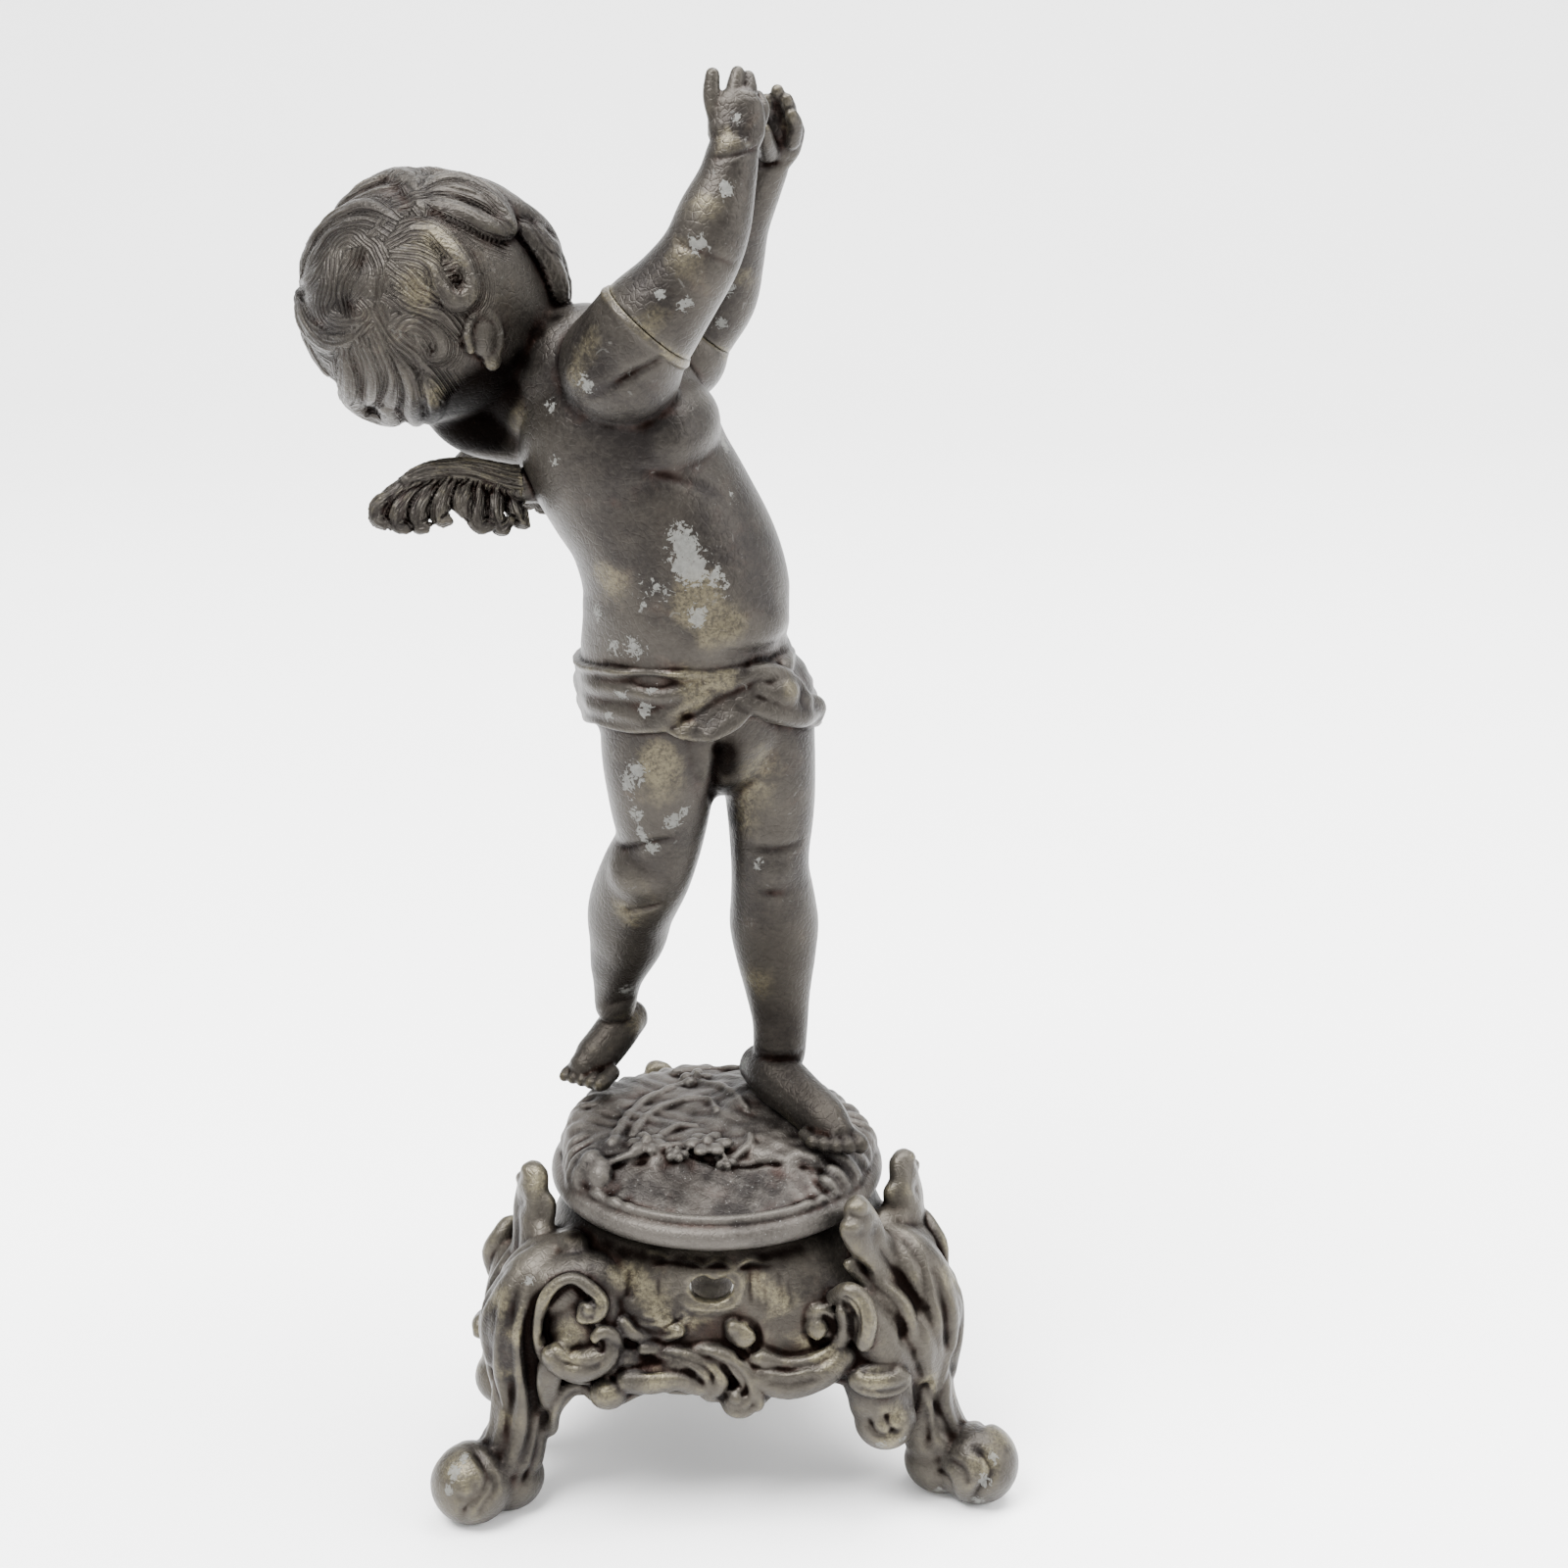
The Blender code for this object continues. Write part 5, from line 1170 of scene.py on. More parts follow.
RIGHT_ARM = Arm(
    node="right_arm",
    limb=((-22.0, -16.0, 201.0, 14.0), (-14.0, -19.0, 211.8, 12.8), (-7.0, -20.0, 220.3, 10.8),
          (-1.4, -20.5, 228.5, 9.7), (2.0, -19.5, 237.4, 8.9), (4.8, -18.0, 245.6, 7.0),
          (6.1, -17.0, 251.4, 6.2)),
    palm=((6.1, -17.0, 251.4), (6.9, -16.4, 256.0), (7.2, -15.4, 260.0)),
    fingers=(((2.5, -15.5, 259.0), (1.2, -14.5, 264.0), (1.4, -13.5, 268.6)),
             ((6.0, -15.0, 261.3), (6.6, -13.5, 265.6), (7.2, -12.0, 268.8)),
             ((9.0, -14.5, 260.5), (9.8, -12.5, 264.5), (9.6, -10.5, 267.6)),
             ((11.5, -14.0, 257.5), (12.6, -12.0, 260.5), (11.8, -9.8, 263.0))),
    thumb=((3.0, -13.0, 255.0), (2.6, -9.5, 259.0), (3.6, -7.5, 262.0)),
    size=1.0,
    creases=((0.9, 0.6, (-1, -22, 250.5), (5.5, -24, 251.5), (12, -20, 252.5)),
             (1.2, 0.5, (-9, -28, 233), (0, -30.5, 230), (8, -26, 226))),
    worn=(((700, 310), 2.0), ((712, 250), 2.4), ((740, 192), 2.0), ((672, 300), 1.6), ((752, 120), 1.4)),
    rubs_and_highlights=(((690, 262), 5), ((720, 210), 4), ((742, 140), 4), ((668, 320), 4)))

LEFT_ARM = Arm(
    node="left_arm",
    limb=((-10.0, 25.0, 194.5, 11.5), (-3.7, 28.0, 202.0, 10.4), (2.0, 27.0, 209.6, 9.4),
          (4.8, 24.0, 219.5, 8.4), (7.3, 20.0, 228.5, 7.2), (11.2, 16.2, 237.0, 5.9),
          (14.2, 13.2, 244.5, 5.3)),
    palm=((14.2, 13.2, 244.5), (15.8, 11.8, 249.0), (17.2, 10.4, 252.6)),
    fingers=(((14.6, 10.5, 253.5), (14.2, 8.0, 258.0), (13.8, 5.5, 260.6)),
             ((16.6, 9.5, 254.6), (16.8, 7.5, 259.6), (16.4, 5.0, 262.8)),
             ((18.3, 9.0, 253.0), (19.2, 7.0, 257.6), (18.6, 4.6, 260.8)),
             ((19.8, 8.6, 250.6), (20.6, 6.5, 254.6), (19.8, 4.4, 257.2))),
    thumb=((14.2, 8.0, 248.0), (13.6, 4.0, 251.0), (13.2, 1.5, 254.0)),
    size=0.94,
    creases=((0.9, 0.5, (9, 10, 243), (13, 8, 244.5), (19, 10, 246)),),
    worn=(((745, 295), 1.6), ((735, 330), 1.8)),
    rubs_and_highlights=(((760, 280), 4), ((800, 120), 4)))


class Hand(Enum):
    """Which of the figure's two sides a casting belongs to."""

    RIGHT = "right"
    LEFT = "left"


@dataclass
class Wing:
    """A small wing: a rolled leading edge, and two fans of grooved feathers with curled tips."""

    node: str
    root: Row
    tip: Row
    hand: Hand
    triangles: int = 90000
    fine_grain: float = 0.36
    spine: Row = (-41.0, 7.5, 168.0)
    across: Row = (0.20, 0.97, -0.10)
    edge: tuple = ((-50.0, -3.0, 168.5, 5.4), (-60.0, -5.5, 171.8, 4.4), (-70.0, -8.5, 171.8, 3.6),
                   (-77.5, -11.0, 167.5, 2.8))
    feathers: tuple = (
        ((-76.0, -10.6, 169.0), (-80.6, -12.0, 165.5), (-81.4, -13.4, 162.5), (-79.6, -14.4, 161.2)),
        ((-72.0, -9.6, 170.0), (-76.0, -12.4, 165.0), (-76.6, -13.8, 161.2), (-74.6, -14.4, 160.2)),
        ((-68.5, -8.6, 170.0), (-71.2, -12.0, 165.0), (-71.4, -13.2, 161.0), (-69.6, -13.8, 160.4)),
        ((-64.5, -7.8, 170.0), (-66.2, -11.2, 165.5), (-66.0, -12.4, 162.2), (-64.2, -12.8, 162.0)),
        ((-60.5, -6.8, 169.0), (-61.2, -10.4, 166.0), (-60.4, -11.4, 163.2)),
        ((-57.5, -6.0, 168.0), (-58.0, -9.6, 163.5), (-56.8, -11.2, 160.2), (-54.6, -11.0, 160.0)),
        ((-53.5, -5.0, 167.0), (-53.2, -8.8, 162.0), (-51.4, -9.8, 159.4), (-49.4, -9.2, 160.4)),
        ((-50.0, -3.6, 166.0), (-48.0, -6.4, 161.5), (-46.2, -6.8, 160.2), (-45.0, -6.2, 162.0)))

    def at(self, x: float, y: float, z: float) -> Vector:
        """World place of a point drawn on the right wing."""
        if self.hand is Hand.LEFT:
            across = Vector(self.across).normalized()
            point = Vector((x, y, z))
            point -= across * (2.0 * (point - Vector(self.spine)).dot(across))
            return spot(*point)
        return spot(x, y, z)

    def build(self) -> Object:
        """Builds the wing.

        Returns:
            Its finished skin.
        """
        clay = Clay(self.node)
        flat = (self.at(0.12, 1.0, 0.1) - self.at(0, 0, 0)).normalized()
        middle = (Vector(self.root) + Vector(self.tip)) / 2
        rows = [(*spot(*middle), 5.0, 4.2)] + [(*self.at(*e[:3]), e[3], e[3] * 0.74) for e in self.edge]
        clay.roll(rows, flat, 16, 5)
        trails = [([self.at(*e[:3]) for e in self.edge], 9.0)]
        for feather in self.feathers:
            places = [self.at(*p) for p in feather]
            radii = np.interp(np.linspace(0, 1, len(places)), (0, 0.5, 1), (2.5, 2.9, 1.7))
            clay.roll([(*p, r, r * 0.8) for p, r in zip(places, radii)], flat, 12, 5)
            trails.append((places, 4.6))
        thing = clay.fused(self.fine_grain, 2)
        out = (Vector(self.tip) - Vector(self.root)).normalized()
        cut_flat(thing, spot(*self.tip) - out * 1.7 * MM, -out)
        skin = Skin(thing)
        lines = [(smooth_rows([tuple(c / MM for c in p) for p in places], 8), reach)
                 for places, reach in trails]
        skin.strands(lines, 1.5, 0.5, np.ones(len(skin.co)), 0.6)
        return skin.finished(self.triangles)


@dataclass
class Mound:
    """Rocky ground with a rounded lip, a ledge, blossoms and a curled leaf."""

    triangles: int = 150000
    fine_grain: float = 0.5
    radius: float = 44.5
    lip: float = 3.4
    bottom: float = 78.3
    blossoms: tuple = ((-2.0, -15.9, 6.0, 6), (-18.0, -14.0, 5.2, 6), (-10.0, -19.5, 3.2, 5),
                       (2.6, -20.6, 2.8, 5), (14.0, 14.0, 5.2, 6), (-6.0, 24.0, 4.6, 5))

    def level(self, x: float, y: float) -> float:
        """Height of the ground's top in mm, at a place from the axis in mm."""
        spread = 2 * 9.0 ** 2
        rise = 4.2 * math.exp(-((x - 10.0) ** 2 + (y - 14.0) ** 2) / spread)
        rise += 2.6 * math.exp(-((x + 34.0) ** 2 + (y - 21.0) ** 2) / spread)
        line = -18.6 + 1.5 * math.sin(x * 0.23 + 0.6) + 0.7 * math.sin(x * 0.9) - 0.0016 * x * x
        ledge = 2.6 / (1.0 + math.exp((y - line) / 0.8))
        slope = 0.34 * max(0.0, -18.6 - y)
        rocks = 0.5 * math.sin(x * 0.31 + 1.0) * math.cos(y * 0.27)
        rocks += 0.18 * math.sin(x * 0.83 + y * 0.4) * math.sin(y * 0.71 - x * 0.2 + 2.0)
        return CROWN - 5.3 + rise - ledge - slope - 1.2e-3 * (x * x + y * y) + rocks

    def place(self, x: float, y: float, z: float) -> Vector:
        """World place of a point from the axis, in mm."""
        return AXIS + Vector((x, y, z)) * MM

    def build(self) -> Object:
        """Builds the mound.

        Returns:
            Its finished skin.
        """
        clay = Clay("mound")
        mesh = clay.mesh
        sectors = 160
        lip_level = self.bottom + self.lip
        rim = self.radius - self.lip * 0.5
        outline = [(s, 1.0) for s in np.linspace(0.04, 0.80, 20)]
        outline += [(0.86, 0.97), (0.91, 0.90), (0.95, 0.76), (0.975, 0.55), (0.99, 0.3), (1.0, 0.05)]
        rings = []
        for share, climb in outline:
            ring = []
            for k in range(sectors):
                turn = 2 * math.pi * k / sectors
                wobble = 1.0 + 0.014 * math.sin(turn * 7 + 1.0) + 0.010 * math.sin(turn * 11)
                wobble += 0.006 * math.sin(turn * 23)
                x, y = rim * share * wobble * math.cos(turn), rim * share * wobble * math.sin(turn)
                z = lip_level + (self.level(x, y) - lip_level) * climb
                ring.append(mesh.verts.new(self.place(x, y, z)))
            rings.append(ring)
        rings.append([mesh.verts.new(AXIS + Vector(((v.co.x - AXIS.x) * 0.96, (v.co.y - AXIS.y) * 0.96,
                                                    (self.bottom - 0.6) * MM))) for v in rings[-1]])
        for low, high in zip(rings, rings[1:]):
            for k in range(sectors):
                n = (k + 1) % sectors
                mesh.faces.new((low[k], low[n], high[n], high[k]))
        top = mesh.verts.new(self.place(0, 0, self.level(0, 0)))
        for k in range(sectors):
            mesh.faces.new((top, rings[0][(k + 1) % sectors], rings[0][k]))
        mesh.faces.new(rings[-1])
        self.add_lip(clay, lip_level)
        self.add_growth(clay)
        thing = clay.fused(self.fine_grain, 2)
        cut_flat(thing, self.place(0, 0, self.bottom), Vector((0, 0, -1)))
        skin = Skin(thing)
        self.work(skin)
        return skin.finished(self.triangles)

    def add_lip(self, clay: Clay, level: float) -> None:
        """Adds the rounded moulding round the mound's foot, with a bead over it."""
        for inward, up, radius in ((self.lip, 0.0, self.lip), (4.6, 4.1, 1.5)):
            ring = []
            for k in range(97):
                turn = 2 * math.pi * k / 96
                reach = self.radius - inward
                ring.append((*self.place(reach * math.cos(turn), reach * math.sin(turn), level + up), radius))
            clay.roll(ring, (0.0, 0.0, 1.0), 16, 1)

    def add_growth(self, clay: Clay) -> None:
        """Adds the blossoms, the curled leaf round them and the stones."""
        for x, y, size, petals in self.blossoms:
            level = self.level(x, y)
            for k in range(petals):
                turn = 2 * math.pi * k / petals + x
                east, north = math.cos(turn), math.sin(turn)
                place = self.place(x + 0.62 * size * east, y + 0.62 * size * north, level + 0.7)
                clay.ball(place, (0.46 * size, 0.36 * size, 1.3), (east, north, 0.0), segments=16)
            clay.ball(self.place(x, y, level + 1.6), (0.27 * size, 0.27 * size, 1.7), segments=16)
        sweeps = (((-27, -13), (-24, 2), (-17, 15), (-6, 22), (3, 12), (8, 2)),
                  ((-22, -8), (-18, 2), (-11, 9), (-3, 9), (0, 2)), ((-14, -9), (-10, -5), (-5, -5)),
                  ((-33, -21), (-23, -18.4), (-10, -15.6), (3, -20)), ((4, -19), (9, -15), (9, -10)),
                  ((20, 20), (24, 10), (30, 4)), ((-12, 30), (-2, 33), (8, 31)))
        for sweep in sweeps:
            rows = [(*self.place(x, y, self.level(x, y) + 0.2), 1.4 - 0.6 * k / (len(sweep) - 1), 0.9)
                    for k, (x, y) in enumerate(sweep)]
            clay.roll(rows, (0, 0, 1), 8)
        for k in range(9):
            turn = math.radians(150 + 15 * k) if k < 5 else math.radians(-32 + 14 * (k - 5))
            reach = 36.6 + 1.2 * math.sin(k * 1.7)
            x, y = reach * math.cos(turn), reach * math.sin(turn)
            clay.ball(self.place(x, y, 87.0 + 1.6 * math.sin(k * 2.1)),
                      (4.4 + math.sin(k * 3.1), 7.0 + math.cos(k * 1.3), 6.2), (x, y, 12.0), segments=20)

    def work(self, skin: Skin) -> None:
        """Works the stone's grain and the leaves' veins."""
        skin.write()
        p = skin.co - np.array(AXIS) / MM
        stone = np.clip((p[:, 2] - 86.0) / 2.0, 0, 1)
        front = np.clip((-17.0 - p[:, 1]) / 4.0, 0, 1) * np.clip((26 - np.abs(p[:, 0])) / 8, 0, 1)
        swell = np.sin(p[:, 0] * 0.55 + 2 * np.sin(p[:, 1] * 0.3)) * np.sin(p[:, 1] * 0.6 + p[:, 2] * 0.4)
        skin.push(stone * (1 - front) * 0.28 * swell)
        skin.write()
        around = np.arctan2(p[:, 1], p[:, 0])
        reach = np.hypot(p[:, 0], p[:, 1])
        flank = np.clip((reach - 33) / 4, 0, 1) * np.clip((p[:, 2] - 85.5) / 1.5, 0, 1) * (1 - front)
        skin.push(flank * 0.30 * np.sin(around * 47 + 1.5 * np.sin(around * 9) + p[:, 2] * 0.25))
        skin.write()
        edge = [self.place(x, y, self.level(x, y) - 0.6) for x, y in
                ((-35, -22), (-30, -21.4), (-25, -19.6), (-19, -19.2), (-13, -17.6), (-7, -18.2), (0, -20.2),
                 (6, -20.6), (14, -20.0), (22, -20.8), (30, -19.6))]
        skin.crease(edge, 0.7, 0.9)
        # Painted shade round the mound's foot, where it sits in the base
        skin.note("painted_shade", 0.8 * np.exp(-((p[:, 2] - self.bottom) / 1.2) ** 2) * np.clip(reach - 38, 0, 1))


@dataclass
class FootedBase:
    """Pierced base of three alike sides between three scroll legs.

    Places on a side are mm along it and mm up; places by a leg are mm out and across.
    The front side's carving is drawn on the portrait, on a plate of PLATE_SCALE dots to a pixel."""

    triangles: int = 196000
    rough_grain: float = 0.7
    fine_grain: float = 0.55
    height: float = 78.0
    top_half: float = 40.0
    hem_half: float = 45.5
    hem: float = 39.0
    wall: float = 3.0
    turn: float = math.radians(4.0)
    foot_reach: float = 77.5
    foot: float = 11.0
    flat: float = 0.8
    leg_reach: float = 62.0
    leg: float = 9.4
    ground_radius: float = 44.5
    # Each band is its lift off the wall, its radii and then dots on the plate
    bands: tuple = (
        (1.2, (2.0, 1.9, 1.9, 1.9, 1.9, 1.8), (466, 462), (500, 455), (510, 425), (480, 388), (436, 368),
         (398, 382), (372, 410), (356, 450), (354, 500), (366, 545), (398, 582), (445, 604), (498, 602),
         (535, 578), (548, 538), (538, 504), (512, 494), (494, 510)),
        (0.2, (3.4, 4.6, 4.6, 3.8, 2.4), (392, 552), (432, 572), (482, 572), (520, 548), (522, 518)),
        (0.4, (2.4, 2.4), (470, 628), (428, 640), (404, 676), (396, 728)),
        (0.0, (3.0, 3.6, 4.4), (556, 556), (620, 552), (690, 560), (742, 588), (776, 628)),
        (0.4, (3.4, 4.2, 3.4), (572, 612), (628, 612), (688, 604), (742, 622)),
        (0.8, (1.8, 2.6, 3.2, 2.6), (610, 534), (700, 538), (782, 548), (846, 582), (876, 626), (880, 664)),
        (1.0, (2.0, 2.8, 2.2), (712, 552), (764, 574), (794, 606), (792, 642)),
        (0.8, (2.2, 2.6, 2.4), (826, 486), (838, 524), (884, 556), (950, 576), (1022, 566), (1072, 534),
         (1098, 484), (1096, 440)),
        (0.0, (4.0, 5.2, 5.0, 4.0), (884, 604), (960, 612), (1040, 588), (1092, 556)),
        (0.6, (2.0, 2.2, 2.0), (1006, 500), (1008, 462), (1040, 446), (1070, 466), (1074, 506)),
        (1.4, (2.2, 2.8, 2.2), (1072, 408), (1104, 394), (1138, 420), (1152, 470), (1146, 524)),
        (0.9, (2.0, 1.6), (560, 474), (584, 500), (640, 508), (694, 494)),
    )
    # Each knob is a dot, its lift and its radii; painted highlights and knocked places are dots with a radius
    knobs: tuple = (
        ((476, 444), 0.6, (3.0, 3.0, 3.2)), ((524, 644), 0.8, (4.0, 5.0, 4.2)),
        ((548, 610), 0.8, (3.0, 2.8, 2.8)), ((838, 664), 0.6, (4.4, 5.2, 4.8)),
        ((852, 500), 0.5, (2.8, 3.6, 3.8)),
        ((1036, 484), 0.6, (3.0, 3.8, 4.0)), ((1180, 612), 0.2, (4.0, 8.4, 4.8)))
    painted_shine: tuple = (((300, 500), 3.4), ((288, 600), 3.0), ((280, 700), 3.0), ((640, 608), 4.0),
                    ((780, 596), 3.0), ((1050, 556), 4.0), ((1170, 616), 4.0), ((440, 566), 3.0),
                    ((368, 420), 2.4), ((856, 484), 2.0), ((1126, 430), 2.4), ((150, 820), 4.6),
                    ((660, 470), 3.0), ((890, 380), 3.4), ((600, 380), 3.4), ((430, 500), 5.0),
                    ((560, 350), 4.4), ((640, 430), 5.0), ((940, 430), 5.0), ((740, 470), 4.4),
                    ((1000, 520), 3.4), ((260, 420), 4.0), ((1230, 700), 4.0), ((1300, 620), 4.0),
                    ((1440, 820), 4.0), ((350, 140), 3.6), ((1210, 760), 3.0), ((520, 640), 2.4),
                    ((500, 420), 2.4))
    # Dots of painted shade under the mound's lip
    overhung: tuple = ((478, 262), (520, 284), (562, 300), (606, 310), (650, 318), (700, 322), (750, 324),
                       (800, 325), (850, 324), (900, 318), (948, 306), (990, 294), (440, 262))
    knocks: tuple = (((150, 836), 2.2), ((136, 884), 1.6), ((176, 800), 1.4), ((1436, 856), 2.2),
                     ((1420, 906), 1.8), ((1330, 880), 1.6), ((1186, 772), 1.6), ((1238, 756), 1.2),
                     ((332, 372), 1.6), ((1460, 800), 1.4))
    # Each groove is a half width, a depth and then its dots; a negative depth is a ridge
    carving: tuple = (
        (0.9, 1.0, (372, 452), (370, 500), (384, 542), (412, 566), (450, 580), (494, 578), (522, 554)),
        (1.0, 1.1, (384, 440), (404, 404), (436, 388), (470, 408), (488, 432)),
        (0.8, 0.9, (462, 430), (456, 448), (470, 466), (496, 462)),
        (0.8, 0.8, (500, 520), (512, 530), (506, 550)),
        (0.9, 1.0, (572, 566), (640, 566), (700, 578), (744, 612), (764, 640)),
        (0.8, 0.9, (588, 592), (650, 588), (706, 592), (738, 606)),
        (0.8, 0.9, (640, 546), (712, 562), (768, 592), (782, 628)),
        (0.8, 1.0, (730, 548), (796, 574), (826, 616), (822, 642)),
        (0.9, 1.1, (796, 560), (844, 600), (856, 640), (838, 648)),
        (0.9, 0.9, (790, 646), (800, 672), (830, 690), (868, 684), (884, 660)),
        (0.8, 0.8, (812, 640), (812, 664), (836, 676), (862, 660)),
        (0.9, 1.3, (834, 540), (852, 552), (880, 540), (890, 512), (876, 484), (850, 472)),
        (0.8, -0.7, (896, 596), (960, 600), (1030, 584)), (0.7, 0.6, (900, 616), (968, 622), (1044, 604)),
        (0.8, 0.7, (906, 578), (966, 590), (1026, 578), (1078, 548)),
        (0.9, 1.4, (1012, 508), (1030, 522), (1056, 512), (1064, 484), (1050, 462), (1028, 462)),
        (0.7, 0.9, (1086, 412), (1112, 424), (1130, 460), (1130, 510)),
        (0.7, 0.9, (1084, 426), (1102, 442), (1114, 476), (1110, 516)),
        (0.7, -0.7, (564, 466), (588, 492), (640, 498), (692, 482), (716, 462), (704, 450), (690, 464)),
        (0.7, -0.7, (580, 454), (612, 476), (652, 476), (684, 458)),
        (0.6, -0.6, (604, 450), (634, 462), (660, 456)),
        (0.6, 0.7, (572, 480), (612, 498), (660, 500), (706, 482)),
        (0.8, -1.0, (532, 286), (566, 296), (596, 314), (630, 304), (662, 312), (694, 328), (722, 320),
         (752, 332), (792, 320), (832, 336), (868, 320), (900, 326), (932, 320), (964, 320)),
        (0.8, 1.0, (540, 304), (596, 330), (662, 330), (722, 340), (792, 338), (868, 338), (960, 336)),
        (1.0, -1.3, (698, 408), (688, 380), (704, 354), (734, 350), (752, 366)),
        (1.0, -1.3, (786, 372), (800, 354), (826, 346), (848, 366), (844, 402), (826, 428), (790, 440),
         (742, 438), (712, 428), (698, 408)),
        (1.1, 1.2, (466, 640), (430, 656), (412, 690), (408, 730)),
        (1.2, 1.3, (332, 336), (292, 420), (284, 520), (290, 620), (272, 720), (246, 800)),
        (1.2, 1.2, (368, 372), (336, 446), (330, 540), (344, 640), (338, 740), (306, 830)),
        (1.1, 1.0, (256, 404), (240, 500), (236, 600), (226, 700), (206, 752)),
        (1.0, 1.2, (384, 616), (372, 700), (352, 790), (304, 896)),
        (1.1, 1.5, (176, 768), (214, 806), (232, 850), (214, 896), (178, 926), (172, 958)),
        (0.9, 0.9, (196, 852), (200, 884), (176, 906), (150, 892)),
        (0.9, 1.0, (240, 836), (250, 878), (226, 914), (206, 948)),
        (1.2, 1.2, (1150, 250), (1210, 330), (1262, 400), (1284, 480), (1280, 560)),
        (1.1, 1.2, (1105, 300), (1160, 370), (1214, 420), (1240, 480), (1236, 540)),
        (1.2, 1.2, (1210, 236), (1262, 296), (1290, 350), (1296, 420), (1318, 480)),
        (1.1, 1.1, (1300, 300), (1320, 360), (1340, 430), (1350, 520), (1370, 620), (1392, 700)),
        (1.0, 1.0, (1280, 560), (1300, 640), (1340, 700), (1372, 760)),
        (1.0, 1.1, (1236, 560), (1270, 640), (1296, 720), (1300, 790)),
        (0.9, 1.0, (1110, 620), (1170, 642), (1230, 636), (1262, 610)),
        (0.8, 0.9, (1130, 590), (1180, 596), (1230, 588)),
        (1.0, 1.4, (1150, 700), (1168, 740), (1200, 752), (1222, 730)),
        (0.9, 1.1, (1196, 690), (1206, 726), (1236, 744)),
        (1.1, 1.4, (1398, 766), (1438, 800), (1454, 846), (1424, 882), (1402, 920)),
        (1.0, 1.0, (1312, 826), (1350, 858), (1370, 902)), (0.9, 0.9, (1346, 800), (1388, 830), (1400, 870)),
    )
    ribs: tuple = (((578, 336), (566, 420)), ((594, 326), (586, 428)), ((611, 328), (606, 434)),
                   ((628, 332), (626, 438)), ((646, 334), (646, 438)), ((664, 338), (664, 430)),
                   ((866, 344), (872, 436)), ((884, 342), (892, 446)), ((902, 340), (912, 452)),
                   ((920, 338), (932, 456)), ((938, 336), (952, 456)), ((956, 336), (970, 440)))

    @property
    def towards(self) -> Vector:
        """Direction from the front side's wall towards the portrait's camera."""
        return Vector((0.0, -0.94, 0.34))

    def facing(self, side: int) -> float:
        """Direction in which a side faces."""
        return -math.pi / 2 + self.turn + 2 * math.pi * side / 3

    def hem_at(self, turn: float) -> float:
        """Height of the wavy lower edge."""
        local = math.remainder(turn - self.facing(0), 2 * math.pi / 3) / (math.pi / 3)
        drop = -5.0 * math.exp(-((local - 0.13) / 0.10) ** 2) - 4.0 * math.exp(-((local + 0.55) / 0.13) ** 2)
        return self.hem + drop + 1.2 * math.cos(local * 14.0) - 5.0 * max(0.0, abs(local) - 0.72) / 0.28

    def reach(self, turn: float, height: float) -> float:
        """Distance of the wall from the axis."""
        share = max(0.0, (self.height - height) / (self.height - self.hem))
        middle = self.top_half + (self.hem_half - self.top_half) * share ** 1.4
        total = sum(max(0.0, math.cos(turn - self.facing(side))) ** 1.5 for side in range(3))
        square = max(0.0, min(1.0, share * 2.2 + 0.1))
        return middle * (1.0 - square + square * total ** (-1.0 / 1.5))

    def on(self, side: int, along: float, height: float, out: float = 0.0) -> Vector:
        """World place on a side's wall."""
        turn = self.facing(side) + math.atan2(along, self.hem_half)
        reach = self.reach(turn, height) + out
        return AXIS + Vector((reach * math.cos(turn), reach * math.sin(turn), height)) * MM

    def by(self, side: int, out: float, across: float, height: float) -> Vector:
        """World place by the leg at a side's left end."""
        turn = self.facing(side) - math.pi / 3
        return AXIS + Vector((out * math.cos(turn) - across * math.sin(turn),
                              out * math.sin(turn) + across * math.cos(turn), height)) * MM

    def turned(self, place: Vector, side: int) -> Vector:
        """A front side's place, turned to another side."""
        return AXIS + Matrix.Rotation(2 * math.pi * side / 3, 3, "Z") @ (place - AXIS)

    def add_wall(self, clay: Clay) -> None:
        """Adds the hollow wall."""
        mesh = clay.mesh
        sectors = 216
        levels = np.linspace(1.0, 0.0, 26)
        sheets = []
        for inset in (0.0, self.wall):
            rings = []
            for level in levels:
                ring = []
                for k in range(sectors):
                    turn = 2 * math.pi * k / sectors
                    low = self.hem_at(turn)
                    height = low + (self.height - 0.3 - low) * level
                    reach = self.reach(turn, height) - inset
                    ring.append(mesh.verts.new(AXIS + Vector((reach * math.cos(turn), reach * math.sin(turn),
                                                              height)) * MM))
                rings.append(ring)
            sheets.append(rings)
        outer, inner = sheets
        for rings in sheets:
            for high, low in zip(rings, rings[1:]):
                for k in range(sectors):
                    n = (k + 1) % sectors
                    quad = (high[k], low[k], low[n], high[n])
                    mesh.faces.new(quad if rings is outer else tuple(reversed(quad)))
        for edge in (0, -1):
            for k in range(sectors):
                n = (k + 1) % sectors
                quad = (outer[edge][k], outer[edge][n], inner[edge][n], inner[edge][k])
                mesh.faces.new(quad if edge == 0 else tuple(reversed(quad)))

